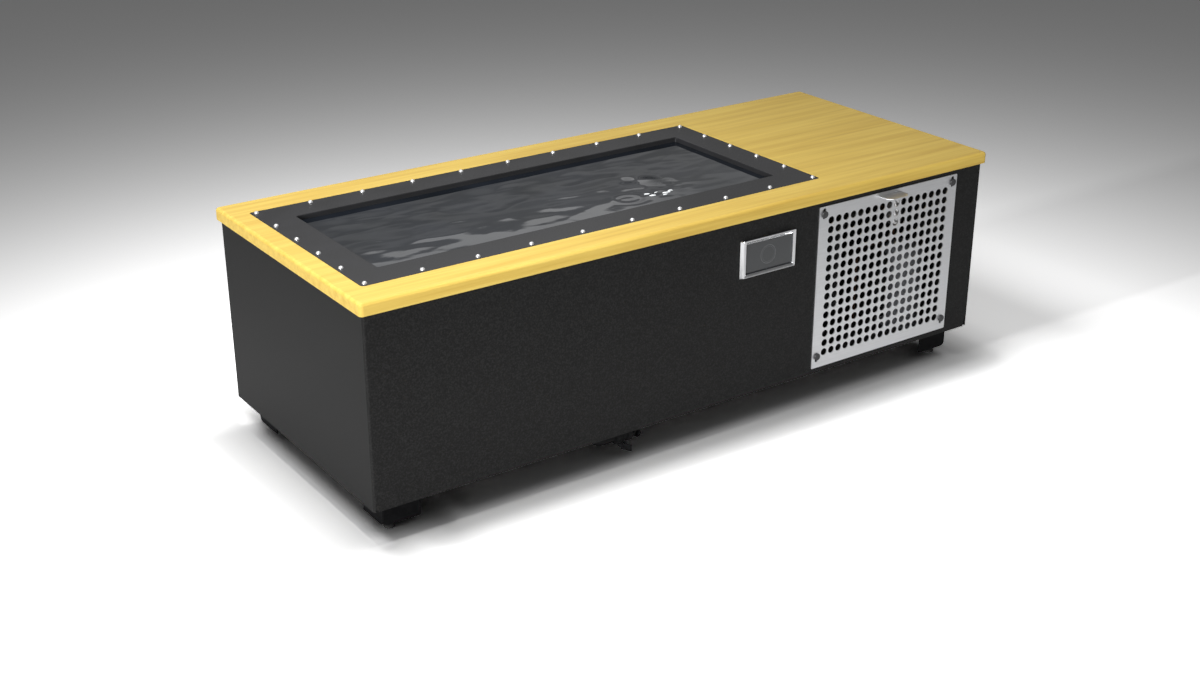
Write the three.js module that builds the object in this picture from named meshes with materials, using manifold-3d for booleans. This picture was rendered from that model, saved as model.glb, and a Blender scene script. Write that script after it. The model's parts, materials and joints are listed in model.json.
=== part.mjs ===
// A cold plunge tub: a folded sheet cabinet under a bamboo slab, a drop-in basin, a chiller bay at the
// right end behind a perforated lift-off panel, and a drain valve under the front edge.
// Millimetres. +X runs along the tub to the chiller bay, -Y is the front, +Z is up.
// The origin is on the floor, under the middle of the whole thing.
import * as THREE from "three";
import { mergeVertices } from "three/addons/utils/BufferGeometryUtils.js";
import Module from "manifold-3d";

const wasm = await Module();
wasm.setup();

// Gap between touching pieces, and how far a cutter runs past the face it cuts.
const fit = 0.3;
const past = 5;

// Facets round a turned piece.
const roundSides = 12;

// Basin.
const basinLength = 1337;
const basinWidth = 484;
const basinDraft = 13;
const basinCorner = 6;
const basinFloorCorner = 45;
const basinFloorFillet = 25;
const basinWall = 5;
const rimRound = 6;
const flangeEnds = 97;
const flangeSides = 100;
const flangeCorner = 10;
const flangeThickness = 5;
const flangeSink = 2;

// Bamboo slab. The rims are the wood left outside the flange.
const overallHeight = 694;
const slabThickness = 36;
const slabRimLeft = 60.5;
const slabRimSides = 103;
const slabCorner = 12;
const slabTopRound = 10;
const slabBottomRound = 2;
const seatClearance = 1;
const throatClearance = 3;

// Cabinet of folded sheet.
const slabOverhang = 11;
const sheet = 3;
const bendRadius = 8;
const cabinetBottom = 102;
const lipDepth = 24;
const rearReturn = 28;
const reliefWidth = 9.5;
const reliefHeight = 20;
const reliefInset = 11;
const deckThickness = 30;
const deckClearance = 1;

// Insulation boards and the divider.
const foamThickness = 40;
const foamFloorThickness = 30;
const foamGap = 2;
const dividerGap = 0.5;
const bayLength = 641;

// Feet.
const bracketInset = 46;
const bracketLeg = 115;
const bracketThickness = 5;
const bracketDrop = 79;
const bracketCorner = 15;
const bracketSeam = 2;
const footInset = 80.5;
const footPadDiameter = 31;
const footPadHeight = 8;
const footPadChamfer = 1;
const footStemDiameter = 12;
const footStemClearance = 0.5;

// Perforated panel.
const panelLap = 35;
const panelRightGap = 109;
const panelTopGap = 16;
const panelBottomGap = 19;
const panelCorner = 3;
const holeDiameter = 23;
const holeSides = 8;
const holePitchX = 29.6;
const holePitchZ = 30.5;
const holeMargin = 45;
const openingInset = 37;
const studInset = 19;
const studTopInset = 24;
const studBottomInset = 38;
const studHeadDiameter = 22;
const studHeadHeight = 6;
const studNeckDiameter = 10;
const studTail = 14;
const studChamfer = 1;
const slotWidth = 12;
const slotLift = 9;
const slotSpare = 13;
const tabWidth = 90;
const tabReach = 44;
const tabChamfer = 16;
const tabDrop = 11;

// Touch display, measured to its centre from the bay and from the underside of the slab.
const displayFromBay = 228;
const displayDrop = 118;
const bezelLength = 206;
const bezelHeight = 120;
const bezelBar = 15;
const bezelProud = 11;
const bezelEdge = 2;
const bezelFlat = 3;
const bezelCorner = 5;
const bezelInnerCorner = 0.8;
const glassThickness = 3;
const housingDepth = 45;
const housingLap = 6;
const housingCollar = 20;

// Chiller bay.
const compressorDiameter = 118;
const compressorHeadroom = 22.1;
const compressorDome = 15;
const compressorFromRight = 205;
const compressorFromFront = 103;
const compressorBase = 150;
const accumulatorDiameter = 50;
const accumulatorDrop = 38;
const accumulatorLift = 60;
const accumulatorGap = 12;
const accumulatorShoulder = 12;
const drierDiameter = 48;
const drierLength = 126;
const drierTaper = 14;
const drierDrop = 58;
const drierFromRight = 256;
const condenserLength = 340;
const condenserHeight = 330;
const condenserDepth = 45;
const condenserFromRight = 60;
const condenserFromBack = 20;
const condenserEndPlate = 3;
const condenserEndStep = 8;
const shroudDepth = 40;
const shroudWall = 4;
const fanDiameter = 268;
const fanTipClearance = 6;
const fanHubDiameter = 56;
const fanHubDepth = 26;
const fanBladeCount = 5;
const fanBladeThickness = 2.5;
const fanBladeChord = 92;
const fanBladePitch = 24;
const fanGap = 4;
const fanShaftDiameter = 8;
const fanMotorDiameter = 78;
const fanMotorLength = 66;
const motorChamfer = 4;
const fanArmWidth = 18;
const fanArmThickness = 4;
const exchangerDiameter = 120;
const exchangerHeight = 400;
const exchangerDome = 20;
const exchangerFromDivider = 110;
const exchangerFromBack = 110;
const exchangerPortLow = 66;
const exchangerPortHigh = 345;
const pumpFromDivider = 118;
const pumpFromBack = 420;
const pumpAxisHeight = 106;
const voluteDiameter = 150;
const voluteDepth = 50;
const pumpMotorDiameter = 110;
const pumpMotorLength = 130;
const pumpMotorChamfer = 10;
const pumpFootLength = 90;
const portLength = 28;
const portDiameter = 40;
const gasPortDiameter = 16;
const hoseDiameter = 32;
const hoseBend = 40;
const filterFromDivider = 98;
const filterFromFront = 112;
const filterHeadDiameter = 124;
const filterHeadHeight = 58;
const filterHeadDrop = 98;
const filterHeadChamfer = 10;
const filterBracketWidth = 60;
const sumpDiameter = 112;
const sumpHeight = 240;
const sumpWall = 4;
const sumpFillet = 14;
const cartridgeDiameter = 60;
const cartridgeCapLap = 3;
const cartridgeBore = 26;
const cartridgeEnd = 8;
const copperDiameter = 10;
const copperBend = 24;
const controlBoxDepth = 90;
const controlBoxWidth = 200;
const controlBoxHeight = 170;
const controlBoxFromFront = 290;
const controlBoxDrop = 138;
const inletFromRight = 90;
const inletDrop = 98;
const inletFlange = 56;
const inletBody = 40;
const inletDepth = 30;
const ventCount = 9;
const ventLength = 300;
const ventHeight = 12;
const ventPitch = 30;

// Through-wall water fittings, placed along Y from the middle and up from the deck.
const fittingBodyDiameter = 50;
const fittingFaceDiameter = 76;
const fittingFaceThickness = 6;
const fittingBore = 24;
const fittingHoleClearance = 2;
const fittingReach = 36;
const suctionY = -140;
const returnY = 140;

// Drain under the front edge.
const drainFromBasin = 76;
const drainFlangeDiameter = 90;
const drainFlangeThickness = 4;
const drainBodyDiameter = 50;
const drainFromMiddle = 130;
const drainHeight = 75.5;
const drainFromFront = 49;
const drainPipeDiameter = 34;
const drainPipeWall = 4;
const drainBend = 34;
const valveDiameter = 40;
const valveNutDiameter = 50;
const valveNutLength = 16;
const valveNutBevel = 3;
const valveLength = 56;
const valveStart = 54;
const valveBossDiameter = 18;
const valveBossDrop = 27;
const leverHubDiameter = 22;
const leverHubHeight = 11;
const leverLength = 34;
const leverHeight = 22;
const leverThickness = 5;
const leverAngle = -60;
const spoutDiameter = 26;
const spoutBore = 20;
const spoutReach = 25;
const spoutElbow = 14;

// Sizes of the whole, added up from the pieces.
const slabLength = slabRimLeft + flangeEnds + basinLength + basinWall + foamGap + foamThickness
  + dividerGap + sheet + bayLength + sheet + slabOverhang;
const slabWidth = basinWidth + 2 * (flangeSides + slabRimSides);
const slabBottom = overallHeight - slabThickness;
const cabinetLength = slabLength - 2 * slabOverhang;
const cabinetWidth = slabWidth - 2 * slabOverhang;
const cabinetHeight = slabBottom - cabinetBottom;
const right = cabinetLength / 2;
const left = -right;
const back = cabinetWidth / 2;
const front = -back;
const deckBottom = cabinetBottom + sheet + fit;
const deckTop = deckBottom + deckThickness;
const rearFace = back - sheet - fit;
const bayRight = right - sheet;
const bayLeft = bayRight - bayLength;
const bayFront = front + sheet;
const bayBack = rearFace - sheet;
const basinX = -slabLength / 2 + slabRimLeft + flangeEnds + basinLength / 2;
const basinRight = basinX + basinLength / 2;
const flangeTop = overallHeight - flangeSink;
const flangeBottom = flangeTop - flangeThickness;
const linerBottom = deckTop + fit + foamFloorThickness + fit;
const basinFloor = linerBottom + basinWall;
const forwardReach = tabReach + sheet + fit - slabOverhang;

// Looks.
const look = (color, roughness, metalness) => new THREE.MeshStandardMaterial({ color, roughness, metalness });
const bamboo = look(0xe2c068, 0.45, 0);
const liner = look(0x4a4a4c, 0.3, 0);
const powderCoat = look(0x303032, 0.65, 0.1);
const blackSteel = look(0x141415, 0.6, 0.2);
const satinAluminium = look(0xb4b6b8, 0.35, 1);
const darkScrew = look(0x4a4a4a, 0.45, 0.4);
const chrome = look(0xe0e0e0, 0.12, 1);
const screenGlass = look(0x08090a, 0.06, 0);
const blackPlastic = look(0x18181a, 0.5, 0);
const foam = look(0xd8d4c6, 0.9, 0);
const greyPaint = look(0x8a8c8e, 0.45, 0.2);
const copper = look(0xb4693c, 0.3, 1);
const rubber = look(0x121212, 0.8, 0);
const greyPlastic = look(0x6c6e70, 0.55, 0);

// A closed geometry as a solid that can be joined and cut.
function solid(geometry) {
  const bare = geometry.index ? geometry.toNonIndexed() : geometry.clone();
  bare.deleteAttribute("normal");
  bare.deleteAttribute("uv");
  const merged = mergeVertices(bare, 1e-4);
  const vertProperties = merged.attributes.position.array;
  const triVerts = new Uint32Array(merged.index.array);
  return new wasm.Manifold(new wasm.Mesh({ numProp: 3, vertProperties, triVerts }));
}

// A solid's surface as a geometry with flat facets.
function surface(body) {
  const mesh = body.getMesh();
  const shared = new THREE.BufferGeometry();
  shared.setAttribute("position", new THREE.BufferAttribute(mesh.vertProperties, 3));
  shared.setIndex(new THREE.BufferAttribute(mesh.triVerts, 1));
  const faceted = shared.toNonIndexed();
  faceted.computeVertexNormals();
  return faceted;
}

function join(...pieces) {
  return surface(pieces.map(solid).reduce((whole, piece) => whole.add(piece)));
}

function cut(base, ...cutters) {
  return surface(cutters.map(solid).reduce((rest, cutter) => rest.subtract(cutter), solid(base)));
}

// A box between two values on each axis.
function block([x0, x1], [y0, y1], [z0, z1]) {
  const box = new THREE.BoxGeometry(x1 - x0, y1 - y0, z1 - z0);
  return box.translate((x0 + x1) / 2, (y0 + y1) / 2, (z0 + z1) / 2);
}

// A profile of [radius, height] pairs turned about Z.
function turned(profile, sides = roundSides) {
  const points = profile.map(([radius, height]) => new THREE.Vector2(radius, height));
  return new THREE.LatheGeometry(points, sides).rotateX(Math.PI / 2);
}

// A plain round bar from z0 to z1.
function bar(diameter, z0, z1, sides = roundSides) {
  const radius = diameter / 2;
  return turned([[0, z0], [radius, z0], [radius, z1], [0, z1]], sides);
}

// Turns what stands along +Z so that it points along +X, along -Y or along +Y.
const alongX = (geometry) => geometry.rotateY(Math.PI / 2);
const alongFront = (geometry) => geometry.rotateX(Math.PI / 2);
const alongBack = (geometry) => geometry.rotateX(-Math.PI / 2);

// The outline of a rectangle with round corners about the origin.
function roundedOutline(width, height, radius) {
  const x = width / 2 - radius;
  const y = height / 2 - radius;
  const outline = new THREE.Shape();
  outline.absarc(x, y, radius, 0, Math.PI / 2);
  outline.absarc(-x, y, radius, Math.PI / 2, Math.PI);
  outline.absarc(-x, -y, radius, Math.PI, Math.PI * 1.5);
  outline.absarc(x, -y, radius, Math.PI * 1.5, Math.PI * 2);
  return outline;
}

// An outline raised along +Z from 0.
function raised(outline, depth, curveSegments = 2) {
  return new THREE.ExtrudeGeometry(outline, { depth, bevelEnabled: false, curveSegments });
}

// One level of a loft: a rounded rectangle at height z.
function level(width, depth, radius, z, arcSteps = 4) {
  const points = roundedOutline(width, depth, radius).getPoints(arcSteps / 2);
  const last = points.length - 1;
  const open = points[0].distanceTo(points[last]) < 1e-6 ? points.slice(0, last) : points;
  return open.map((point) => [point.x, point.y, z]);
}

// Skins levels that have as many points each. Open lofts are capped at the first and last level.
function loft(levels, closed = false) {
  const count = levels[0].length;
  const positions = levels.flat(2);
  const index = [];
  const spans = closed ? levels.length : levels.length - 1;
  for (let i = 0; i < spans; i += 1) {
    const lower = i * count;
    const upper = ((i + 1) % levels.length) * count;
    for (let j = 0; j < count; j += 1) {
      const next = (j + 1) % count;
      index.push(lower + j, lower + next, upper + next);
      index.push(lower + j, upper + next, upper + j);
    }
  }
  if (!closed) {
    const top = (levels.length - 1) * count;
    for (let j = 1; j < count - 1; j += 1) {
      index.push(0, j + 1, j);
      index.push(top, top + j, top + j + 1);
    }
  }
  const geometry = new THREE.BufferGeometry();
  geometry.setAttribute("position", new THREE.Float32BufferAttribute(positions, 3));
  geometry.setIndex(index);
  const faceted = geometry.toNonIndexed();
  faceted.computeVertexNormals();
  return faceted;
}

// Straight runs with rounded bends. It has a section only at its ends and round each bend.
class BentRun extends THREE.Curve {
  constructor(corners, bend, arcSteps = 3) {
    super();
    const knots = corners.map((corner) => new THREE.Vector3(...corner));
    const points = [knots[0]];
    for (let i = 1; i < knots.length - 1; i += 1) {
      const before = knots[i - 1].clone().sub(knots[i]).setLength(bend).add(knots[i]);
      const after = knots[i + 1].clone().sub(knots[i]).setLength(bend).add(knots[i]);
      const arc = new THREE.QuadraticBezierCurve3(before, knots[i], after);
      points.push(...arc.getPoints(arcSteps));
    }
    points.push(knots[knots.length - 1]);
    this.stations = points.filter((point, i) => i === 0 || point.distanceTo(points[i - 1]) > fit);
    this.steps = this.stations.length - 1;
  }

  getPointAt(u) {
    return this.stations[Math.round(u * this.steps)].clone();
  }

  getTangentAt(u) {
    const i = Math.round(u * this.steps);
    const here = this.stations[i];
    const tangent = new THREE.Vector3();
    if (i > 0) {
      tangent.add(here.clone().sub(this.stations[i - 1]).normalize());
    }
    if (i < this.steps) {
      tangent.add(this.stations[i + 1].clone().sub(here).normalize());
    }
    return tangent.normalize();
  }
}

function pipe(corners, diameter, bend, sides = 8) {
  const section = new THREE.Shape().absarc(0, 0, diameter / 2, 0, Math.PI * 2);
  const run = new BentRun(corners, bend);
  const options = { steps: run.steps, bevelEnabled: false, curveSegments: sides / 2, extrudePath: run };
  return new THREE.ExtrudeGeometry(section, options);
}

function place(group, name, geometry, material, x = 0, y = 0, z = 0) {
  const mesh = new THREE.Mesh(geometry, material);
  mesh.name = name;
  mesh.position.set(x, y, z);
  group.add(mesh);
  return mesh;
}

const root = new THREE.Group();
const tub = new THREE.Group();
tub.position.y = forwardReach / 2;
root.add(tub);

// Bamboo slab with a seat for the flange and a throat for the basin.
function slabGeometry() {
  const levels = [];
  const ring = (inset, z) => {
    levels.push(level(slabLength - 2 * inset, slabWidth - 2 * inset, slabCorner - inset, z));
  };
  ring(slabBottomRound, slabBottom);
  ring(0, slabBottom + slabBottomRound);
  for (const angle of [0, 30, 60, 90].map(THREE.MathUtils.degToRad)) {
    const rise = slabTopRound * (1 - Math.sin(angle));
    ring(slabTopRound * (1 - Math.cos(angle)), overallHeight - rise);
  }
  const seatLength = basinLength + 2 * (flangeEnds + seatClearance);
  const seatWidth = basinWidth + 2 * (flangeSides + seatClearance);
  const seat = raised(roundedOutline(seatLength, seatWidth, flangeCorner + seatClearance), slabThickness);
  const throatGrowth = 2 * (basinWall + throatClearance);
  const throatCorner = basinCorner + basinWall + throatClearance;
  const throatOutline = roundedOutline(basinLength + throatGrowth, basinWidth + throatGrowth, throatCorner);
  const throat = raised(throatOutline, slabThickness + 2 * past);
  return cut(
    loft(levels),
    seat.translate(basinX, 0, flangeBottom - fit),
    throat.translate(basinX, 0, slabBottom - past),
  );
}

// The inner face of the basin's right wall at height z, from the drafted wall.
const wallTop = flangeTop - rimRound;
const wallFoot = basinFloor + basinFloorFillet;
const basinInset = (z) => basinDraft * (wallTop - z) / (wallTop - wallFoot);

function linerGeometry() {
  const levels = [];
  const ring = (grow, radius, z) => {
    levels.push(level(basinLength + 2 * grow, basinWidth + 2 * grow, radius, z));
  };
  const soft = 1 - Math.SQRT1_2;
  const outerFoot = basinWall - basinDraft;
  const outerFloorCorner = basinFloorCorner + basinWall;
  ring(outerFoot - basinFloorFillet, outerFloorCorner - basinFloorFillet, linerBottom);
  ring(outerFoot - soft * basinFloorFillet, outerFloorCorner - soft * basinFloorFillet,
    linerBottom + soft * basinFloorFillet);
  ring(outerFoot, outerFloorCorner, linerBottom + basinFloorFillet);
  ring(basinWall, basinCorner + basinWall, flangeBottom);
  const flange = (radius, z) => {
    levels.push(level(basinLength + 2 * flangeEnds, basinWidth + 2 * flangeSides, radius, z));
  };
  flange(flangeCorner, flangeBottom);
  flange(flangeCorner, flangeTop);
  ring(rimRound, basinCorner + rimRound, flangeTop);
  ring(soft * rimRound, basinCorner + soft * rimRound, flangeTop - soft * rimRound);
  ring(0, basinCorner, wallTop);
  ring(-basinDraft, basinFloorCorner, wallFoot);
  ring(-basinDraft - soft * basinFloorFillet, basinFloorCorner - soft * basinFloorFillet,
    basinFloor + soft * basinFloorFillet);
  ring(-basinDraft - basinFloorFillet, basinFloorCorner - basinFloorFillet, basinFloor);
  const wallHole = (fitting) => {
    const hole = bar(fittingBodyDiameter + 2 * fittingHoleClearance, -basinDraft - past, basinWall + past);
    return alongX(hole).translate(basinLength / 2, fitting.y, fitting.z);
  };
  const drainHole = bar(drainBodyDiameter + 2 * fittingHoleClearance, linerBottom - past, basinFloor + past);
  return cut(
    loft(levels),
    wallHole(suction),
    wallHole(jet),
    drainHole.translate(drainX - basinX, drainY, 0),
  );
}

// Through-wall fittings share the pump's and the exchanger's port heights.
const pumpX = bayLeft + pumpFromDivider;
const pumpY = bayBack - pumpFromBack;
const pumpZ = deckTop + pumpAxisHeight;
const exchangerX = bayLeft + exchangerFromDivider;
const exchangerY = bayBack - exchangerFromBack;
const suction = { y: suctionY, z: pumpZ };
const jet = { y: returnY, z: deckTop + exchangerPortHigh };
const drainX = basinX - drainFromBasin;
const drainY = -drainFromMiddle;
place(tub, "wood_top", slabGeometry(), bamboo);
place(tub, "tub_liner", linerGeometry(), liner, basinX, 0, 0);

// Insulation boards hug the basin under the slab and stand on the floor board.
function addFoam(group) {
  const innerX = basinLength / 2 + basinWall + foamGap;
  const innerY = basinWidth / 2 + basinWall + foamGap;
  const outerX = innerX + foamThickness;
  const outerY = innerY + foamThickness;
  const floorZ = deckTop + fit;
  const low = floorZ + foamFloorThickness + fit;
  const upright = [low, slabBottom - fit];
  const boards = new THREE.Group();
  boards.position.x = basinX;
  group.add(boards);
  const floorHole = bar(drainBodyDiameter + 2 * fittingHoleClearance, floorZ - past, low + past);
  floorHole.translate(drainX - basinX, drainY, 0);
  const floorBoard = block([-outerX, outerX], [-outerY, outerY], [floorZ, floorZ + foamFloorThickness]);
  place(boards, "foam_floor", cut(floorBoard, floorHole), foam);
  place(boards, "foam_front", block([-innerX, innerX], [-outerY, -innerY], upright), foam);
  place(boards, "foam_back", block([-innerX, innerX], [innerY, outerY], upright), foam);
  place(boards, "foam_left", block([-outerX, -innerX - fit], [-outerY, outerY], upright), foam);
  const holes = [suction, jet].map((fitting) => {
    const hole = bar(fittingBodyDiameter + 2 * fittingHoleClearance, innerX - past, outerX + past);
    return alongX(hole).translate(0, fitting.y, fitting.z);
  });
  const rightBoard = block([innerX + fit, outerX], [-outerY, outerY], upright);
  place(boards, "foam_right", cut(rightBoard, ...holes), foam);
}
addFoam(tub);

// The perforated panel's place, shared with the cut-outs behind it.
const panel = {
  x0: bayLeft - panelLap,
  x1: right - panelRightGap,
  z0: cabinetBottom + panelBottomGap,
  z1: slabBottom - panelTopGap,
};
const studs = [];
for (const [side, x] of [["left", panel.x0 + studInset], ["right", panel.x1 - studInset]]) {
  studs.push({ name: `upper_${side}`, x, z: panel.z1 - studTopInset, above: slotSpare, below: slotLift });
  studs.push({ name: `lower_${side}`, x, z: panel.z0 + studBottomInset, above: 0, below: slotSpare });
}
const display = { x: bayLeft - displayFromBay, z: slabBottom - displayDrop };
const glassLength = bezelLength - 2 * (bezelBar + fit);
const glassHeight = bezelHeight - 2 * (bezelBar + fit);

// Wraps left, front and right, with lips folded in at the top and bottom and returns at the rear.
function shellGeometry() {
  const outer = raised(roundedOutline(cabinetLength, cabinetWidth, bendRadius), cabinetHeight);
  const innerLength = cabinetLength - 2 * sheet;
  const innerWidth = cabinetWidth - 2 * sheet;
  const innerOutline = roundedOutline(innerLength, innerWidth, bendRadius - sheet);
  const inner = raised(innerOutline, cabinetHeight - 2 * sheet);
  const fullHeight = [-past, cabinetHeight + past];
  const lipLength = cabinetLength - 2 * lipDepth;
  const well = block([-lipLength / 2, lipLength / 2], [front + lipDepth, back + past], fullHeight);
  const rear = block([left + rearReturn, right - rearReturn], [0, back + past], fullHeight);
  const cutters = [inner.translate(0, 0, sheet), well, rear];
  const throughFront = (geometry) => geometry.translate(0, front - past, 0);
  const depth = [0, sheet + 2 * past];
  const opening = block(
    [panel.x0 + openingInset, panel.x1 - openingInset],
    depth,
    [panel.z0 + openingInset - cabinetBottom, panel.z1 - openingInset - cabinetBottom],
  );
  cutters.push(throughFront(opening));
  const windowX = glassLength / 2 + fit - housingLap;
  const windowZ = glassHeight / 2 + fit - housingLap;
  const displayZ = display.z - cabinetBottom;
  const window = block(
    [display.x - windowX, display.x + windowX],
    depth,
    [displayZ - windowZ, displayZ + windowZ],
  );
  cutters.push(throughFront(window));
  for (const stud of studs) {
    const hole = alongFront(bar(studNeckDiameter + 2 * fit, -sheet - past, past, 12));
    cutters.push(hole.translate(stud.x, front, stud.z - cabinetBottom));
  }
  for (const x of [left + reliefInset, right - reliefInset]) {
    const notch = roundedOutline(reliefWidth, 2 * reliefHeight, reliefWidth / 2);
    cutters.push(alongFront(raised(notch, sheet + past)).translate(x, front + sheet, 0));
  }
  return cut(outer, ...cutters);
}
place(tub, "cabinet_shell", shellGeometry(), powderCoat, 0, 0, cabinetBottom);

// Floor of the cabinet, resting on the bottom lips.
function deckGeometry() {
  const length = cabinetLength - 2 * (sheet + deckClearance);
  const width = bayBack - bayFront - 2 * deckClearance;
  const board = raised(roundedOutline(length, width, bendRadius), deckThickness);
  board.translate(0, (bayBack + bayFront) / 2, deckBottom);
  const hole = bar(drainBodyDiameter + 2 * fittingHoleClearance, deckBottom - past, deckTop + past);
  return cut(board, hole.translate(drainX, drainY, 0));
}
place(tub, "base_deck", deckGeometry(), blackSteel);

// The condenser's place, shared with the vents behind it.
const condenserX = bayRight - condenserFromRight - condenserLength / 2;
const condenserZ = deckTop + fit + condenserHeight / 2;
const inletX = bayRight - inletFromRight;
const inletZ = slabBottom - inletDrop;

// Rear sheet inside the returns, with vents behind the condenser and a cut-out for the power inlet.
function backPanelGeometry() {
  const plate = block(
    [left + sheet + bendRadius, right - sheet - bendRadius],
    [bayBack, rearFace],
    [deckBottom, slabBottom - sheet - fit],
  );
  const cutters = [];
  for (let i = 0; i < ventCount; i += 1) {
    const slot = raised(roundedOutline(ventLength, ventHeight, ventHeight / 2), sheet + 2 * past, 1);
    const z = condenserZ + (i - (ventCount - 1) / 2) * ventPitch;
    cutters.push(alongFront(slot).translate(condenserX, rearFace + past, z));
  }
  const halfInlet = inletBody / 2 + fit;
  const inletSpan = [-halfInlet, halfInlet];
  const inletHole = block(inletSpan, [bayBack - past, rearFace + past], inletSpan);
  cutters.push(inletHole.translate(inletX, 0, inletZ));
  return cut(plate, ...cutters);
}
place(tub, "back_panel", backPanelGeometry(), powderCoat);

function dividerGeometry() {
  const plate = block(
    [bayLeft - sheet, bayLeft],
    [bayFront + deckClearance, bayBack - deckClearance],
    [deckTop + fit, slabBottom - sheet - fit],
  );
  const holes = [suction, jet].map((fitting) => {
    const hole = bar(fittingBodyDiameter + 2 * fittingHoleClearance, bayLeft - sheet - past, bayLeft + past);
    return alongX(hole).translate(0, fitting.y, fitting.z);
  });
  return cut(plate, ...holes);
}
place(tub, "divider_panel", dividerGeometry(), blackSteel);

// A corner bracket: a top plate and two hanging plates with an open seam at the outer corner.
function bracketGeometry(stemX, stemY) {
  const plateOutline = () => {
    const outline = new THREE.Shape();
    outline.moveTo(bracketSeam, 0);
    outline.lineTo(bracketSeam, -bracketDrop + bracketCorner);
    const turnX = bracketSeam + bracketCorner;
    outline.absarc(turnX, -bracketDrop + bracketCorner, bracketCorner, Math.PI, Math.PI * 1.5);
    outline.lineTo(bracketLeg, -bracketDrop);
    outline.lineTo(bracketLeg, 0);
    return outline;
  };
  const frontPlate = raised(plateOutline(), bracketThickness).rotateX(Math.PI / 2);
  frontPlate.translate(0, bracketThickness, 0);
  const sidePlate = raised(plateOutline(), bracketThickness);
  sidePlate.rotateX(Math.PI / 2).rotateZ(Math.PI / 2);
  const topPlate = block([0, bracketLeg], [0, bracketLeg], [-bracketThickness, 0]);
  const stemHole = bar(footStemDiameter + 2 * footStemClearance, -bracketThickness - past, past);
  return cut(join(frontPlate, sidePlate, topPlate), stemHole.translate(stemX, stemY, 0));
}

// A round pad with a sloped shoulder on a stem that screws into the bracket.
function footGeometry(stemTop) {
  const pad = footPadDiameter / 2;
  const stem = footStemDiameter / 2;
  const shoulder = footPadHeight + (pad - stem) / 2;
  return turned([
    [0, 0], [pad - footPadChamfer, 0], [pad, footPadChamfer], [pad, footPadHeight],
    [stem, shoulder], [stem, stemTop], [0, stemTop],
  ]);
}

// Four corners: each bracket is turned or mirrored so that its seam faces outwards.
function addFeet(group) {
  const stemOffset = footInset - bracketInset;
  const bracketTop = deckBottom - fit;
  for (const [end, signX] of [["left", -1], ["right", 1]]) {
    for (const [side, signY] of [["front", -1], ["back", 1]]) {
      const corner = new THREE.Group();
      corner.position.set(signX * (right - bracketInset), signY * (back - bracketInset), 0);
      corner.scale.set(-signX, -signY, 1);
      group.add(corner);
      const bracket = bracketGeometry(stemOffset, stemOffset);
      place(corner, `foot_bracket_${side}_${end}`, bracket, blackSteel, 0, 0, bracketTop);
      const foot = footGeometry(bracketTop - fit);
      place(corner, `levelling_foot_${side}_${end}`, foot, rubber, stemOffset, stemOffset, 0);
    }
  }
}
addFeet(tub);

// Perforated panel with round holes, upright slots over the studs and a slit for the pull tab.
function panelGeometry() {
  const width = panel.x1 - panel.x0;
  const height = panel.z1 - panel.z0;
  const outline = roundedOutline(width, height, panelCorner);
  const columns = Math.floor((width - 2 * holeMargin) / holePitchX) + 1;
  const rows = Math.floor((height - 2 * holeMargin) / holePitchZ) + 1;
  for (let column = 0; column < columns; column += 1) {
    for (let row = 0; row < rows; row += 1) {
      const x = (column - (columns - 1) / 2) * holePitchX;
      const y = (row - (rows - 1) / 2) * holePitchZ;
      outline.holes.push(new THREE.Path().absarc(x, y, holeDiameter / 2, 0, Math.PI * 2, true));
    }
  }
  const centreX = (panel.x0 + panel.x1) / 2;
  const centreZ = (panel.z0 + panel.z1) / 2;
  for (const stud of studs) {
    const slot = new THREE.Path();
    const x = stud.x - centreX;
    const y = stud.z - centreZ;
    slot.absarc(x, y + stud.above, slotWidth / 2, Math.PI, 0, true);
    slot.absarc(x, y - stud.below, slotWidth / 2, 0, Math.PI, true);
    outline.holes.push(slot);
  }
  const slitX = tabWidth / 2 + fit;
  const slitTop = height / 2 - tabDrop + fit;
  const slitBottom = slitTop - sheet - 2 * fit;
  const slit = new THREE.Path();
  slit.moveTo(-slitX, slitBottom).lineTo(-slitX, slitTop).lineTo(slitX, slitTop).lineTo(slitX, slitBottom);
  outline.holes.push(slit);
  return alongFront(raised(outline, sheet, holeSides / 2));
}

// A flat tongue with chamfered corners, welded into the slit.
function tabGeometry() {
  const halfWidth = tabWidth / 2;
  const tip = -tabReach - sheet;
  const tongue = new THREE.Shape();
  tongue.moveTo(-halfWidth, 0);
  tongue.lineTo(-halfWidth, tip + tabChamfer);
  tongue.lineTo(tabChamfer - halfWidth, tip);
  tongue.lineTo(halfWidth - tabChamfer, tip);
  tongue.lineTo(halfWidth, tip + tabChamfer);
  tongue.lineTo(halfWidth, 0);
  return raised(tongue, sheet);
}

// A flat round head on a plain neck that reaches through the panel and the cabinet.
function studGeometry() {
  const head = studHeadDiameter / 2;
  const neck = studNeckDiameter / 2;
  const seat = sheet + 2 * fit;
  const top = seat + studHeadHeight;
  return alongFront(turned([
    [0, -sheet - studTail], [neck, -sheet - studTail], [neck, seat], [head, seat],
    [head, top - studChamfer], [head - studChamfer, top], [0, top],
  ]));
}

function addPanel(group) {
  const x = (panel.x0 + panel.x1) / 2;
  const z = (panel.z0 + panel.z1) / 2;
  place(group, "grille_panel", panelGeometry(), satinAluminium, x, front - fit, z);
  place(group, "pull_tab", tabGeometry(), satinAluminium, x, front - fit, panel.z1 - tabDrop - sheet);
  for (const stud of studs) {
    place(group, `thumb_screw_${stud.name}`, studGeometry(), darkScrew, stud.x, front, stud.z);
  }
}
addPanel(tub);

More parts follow.
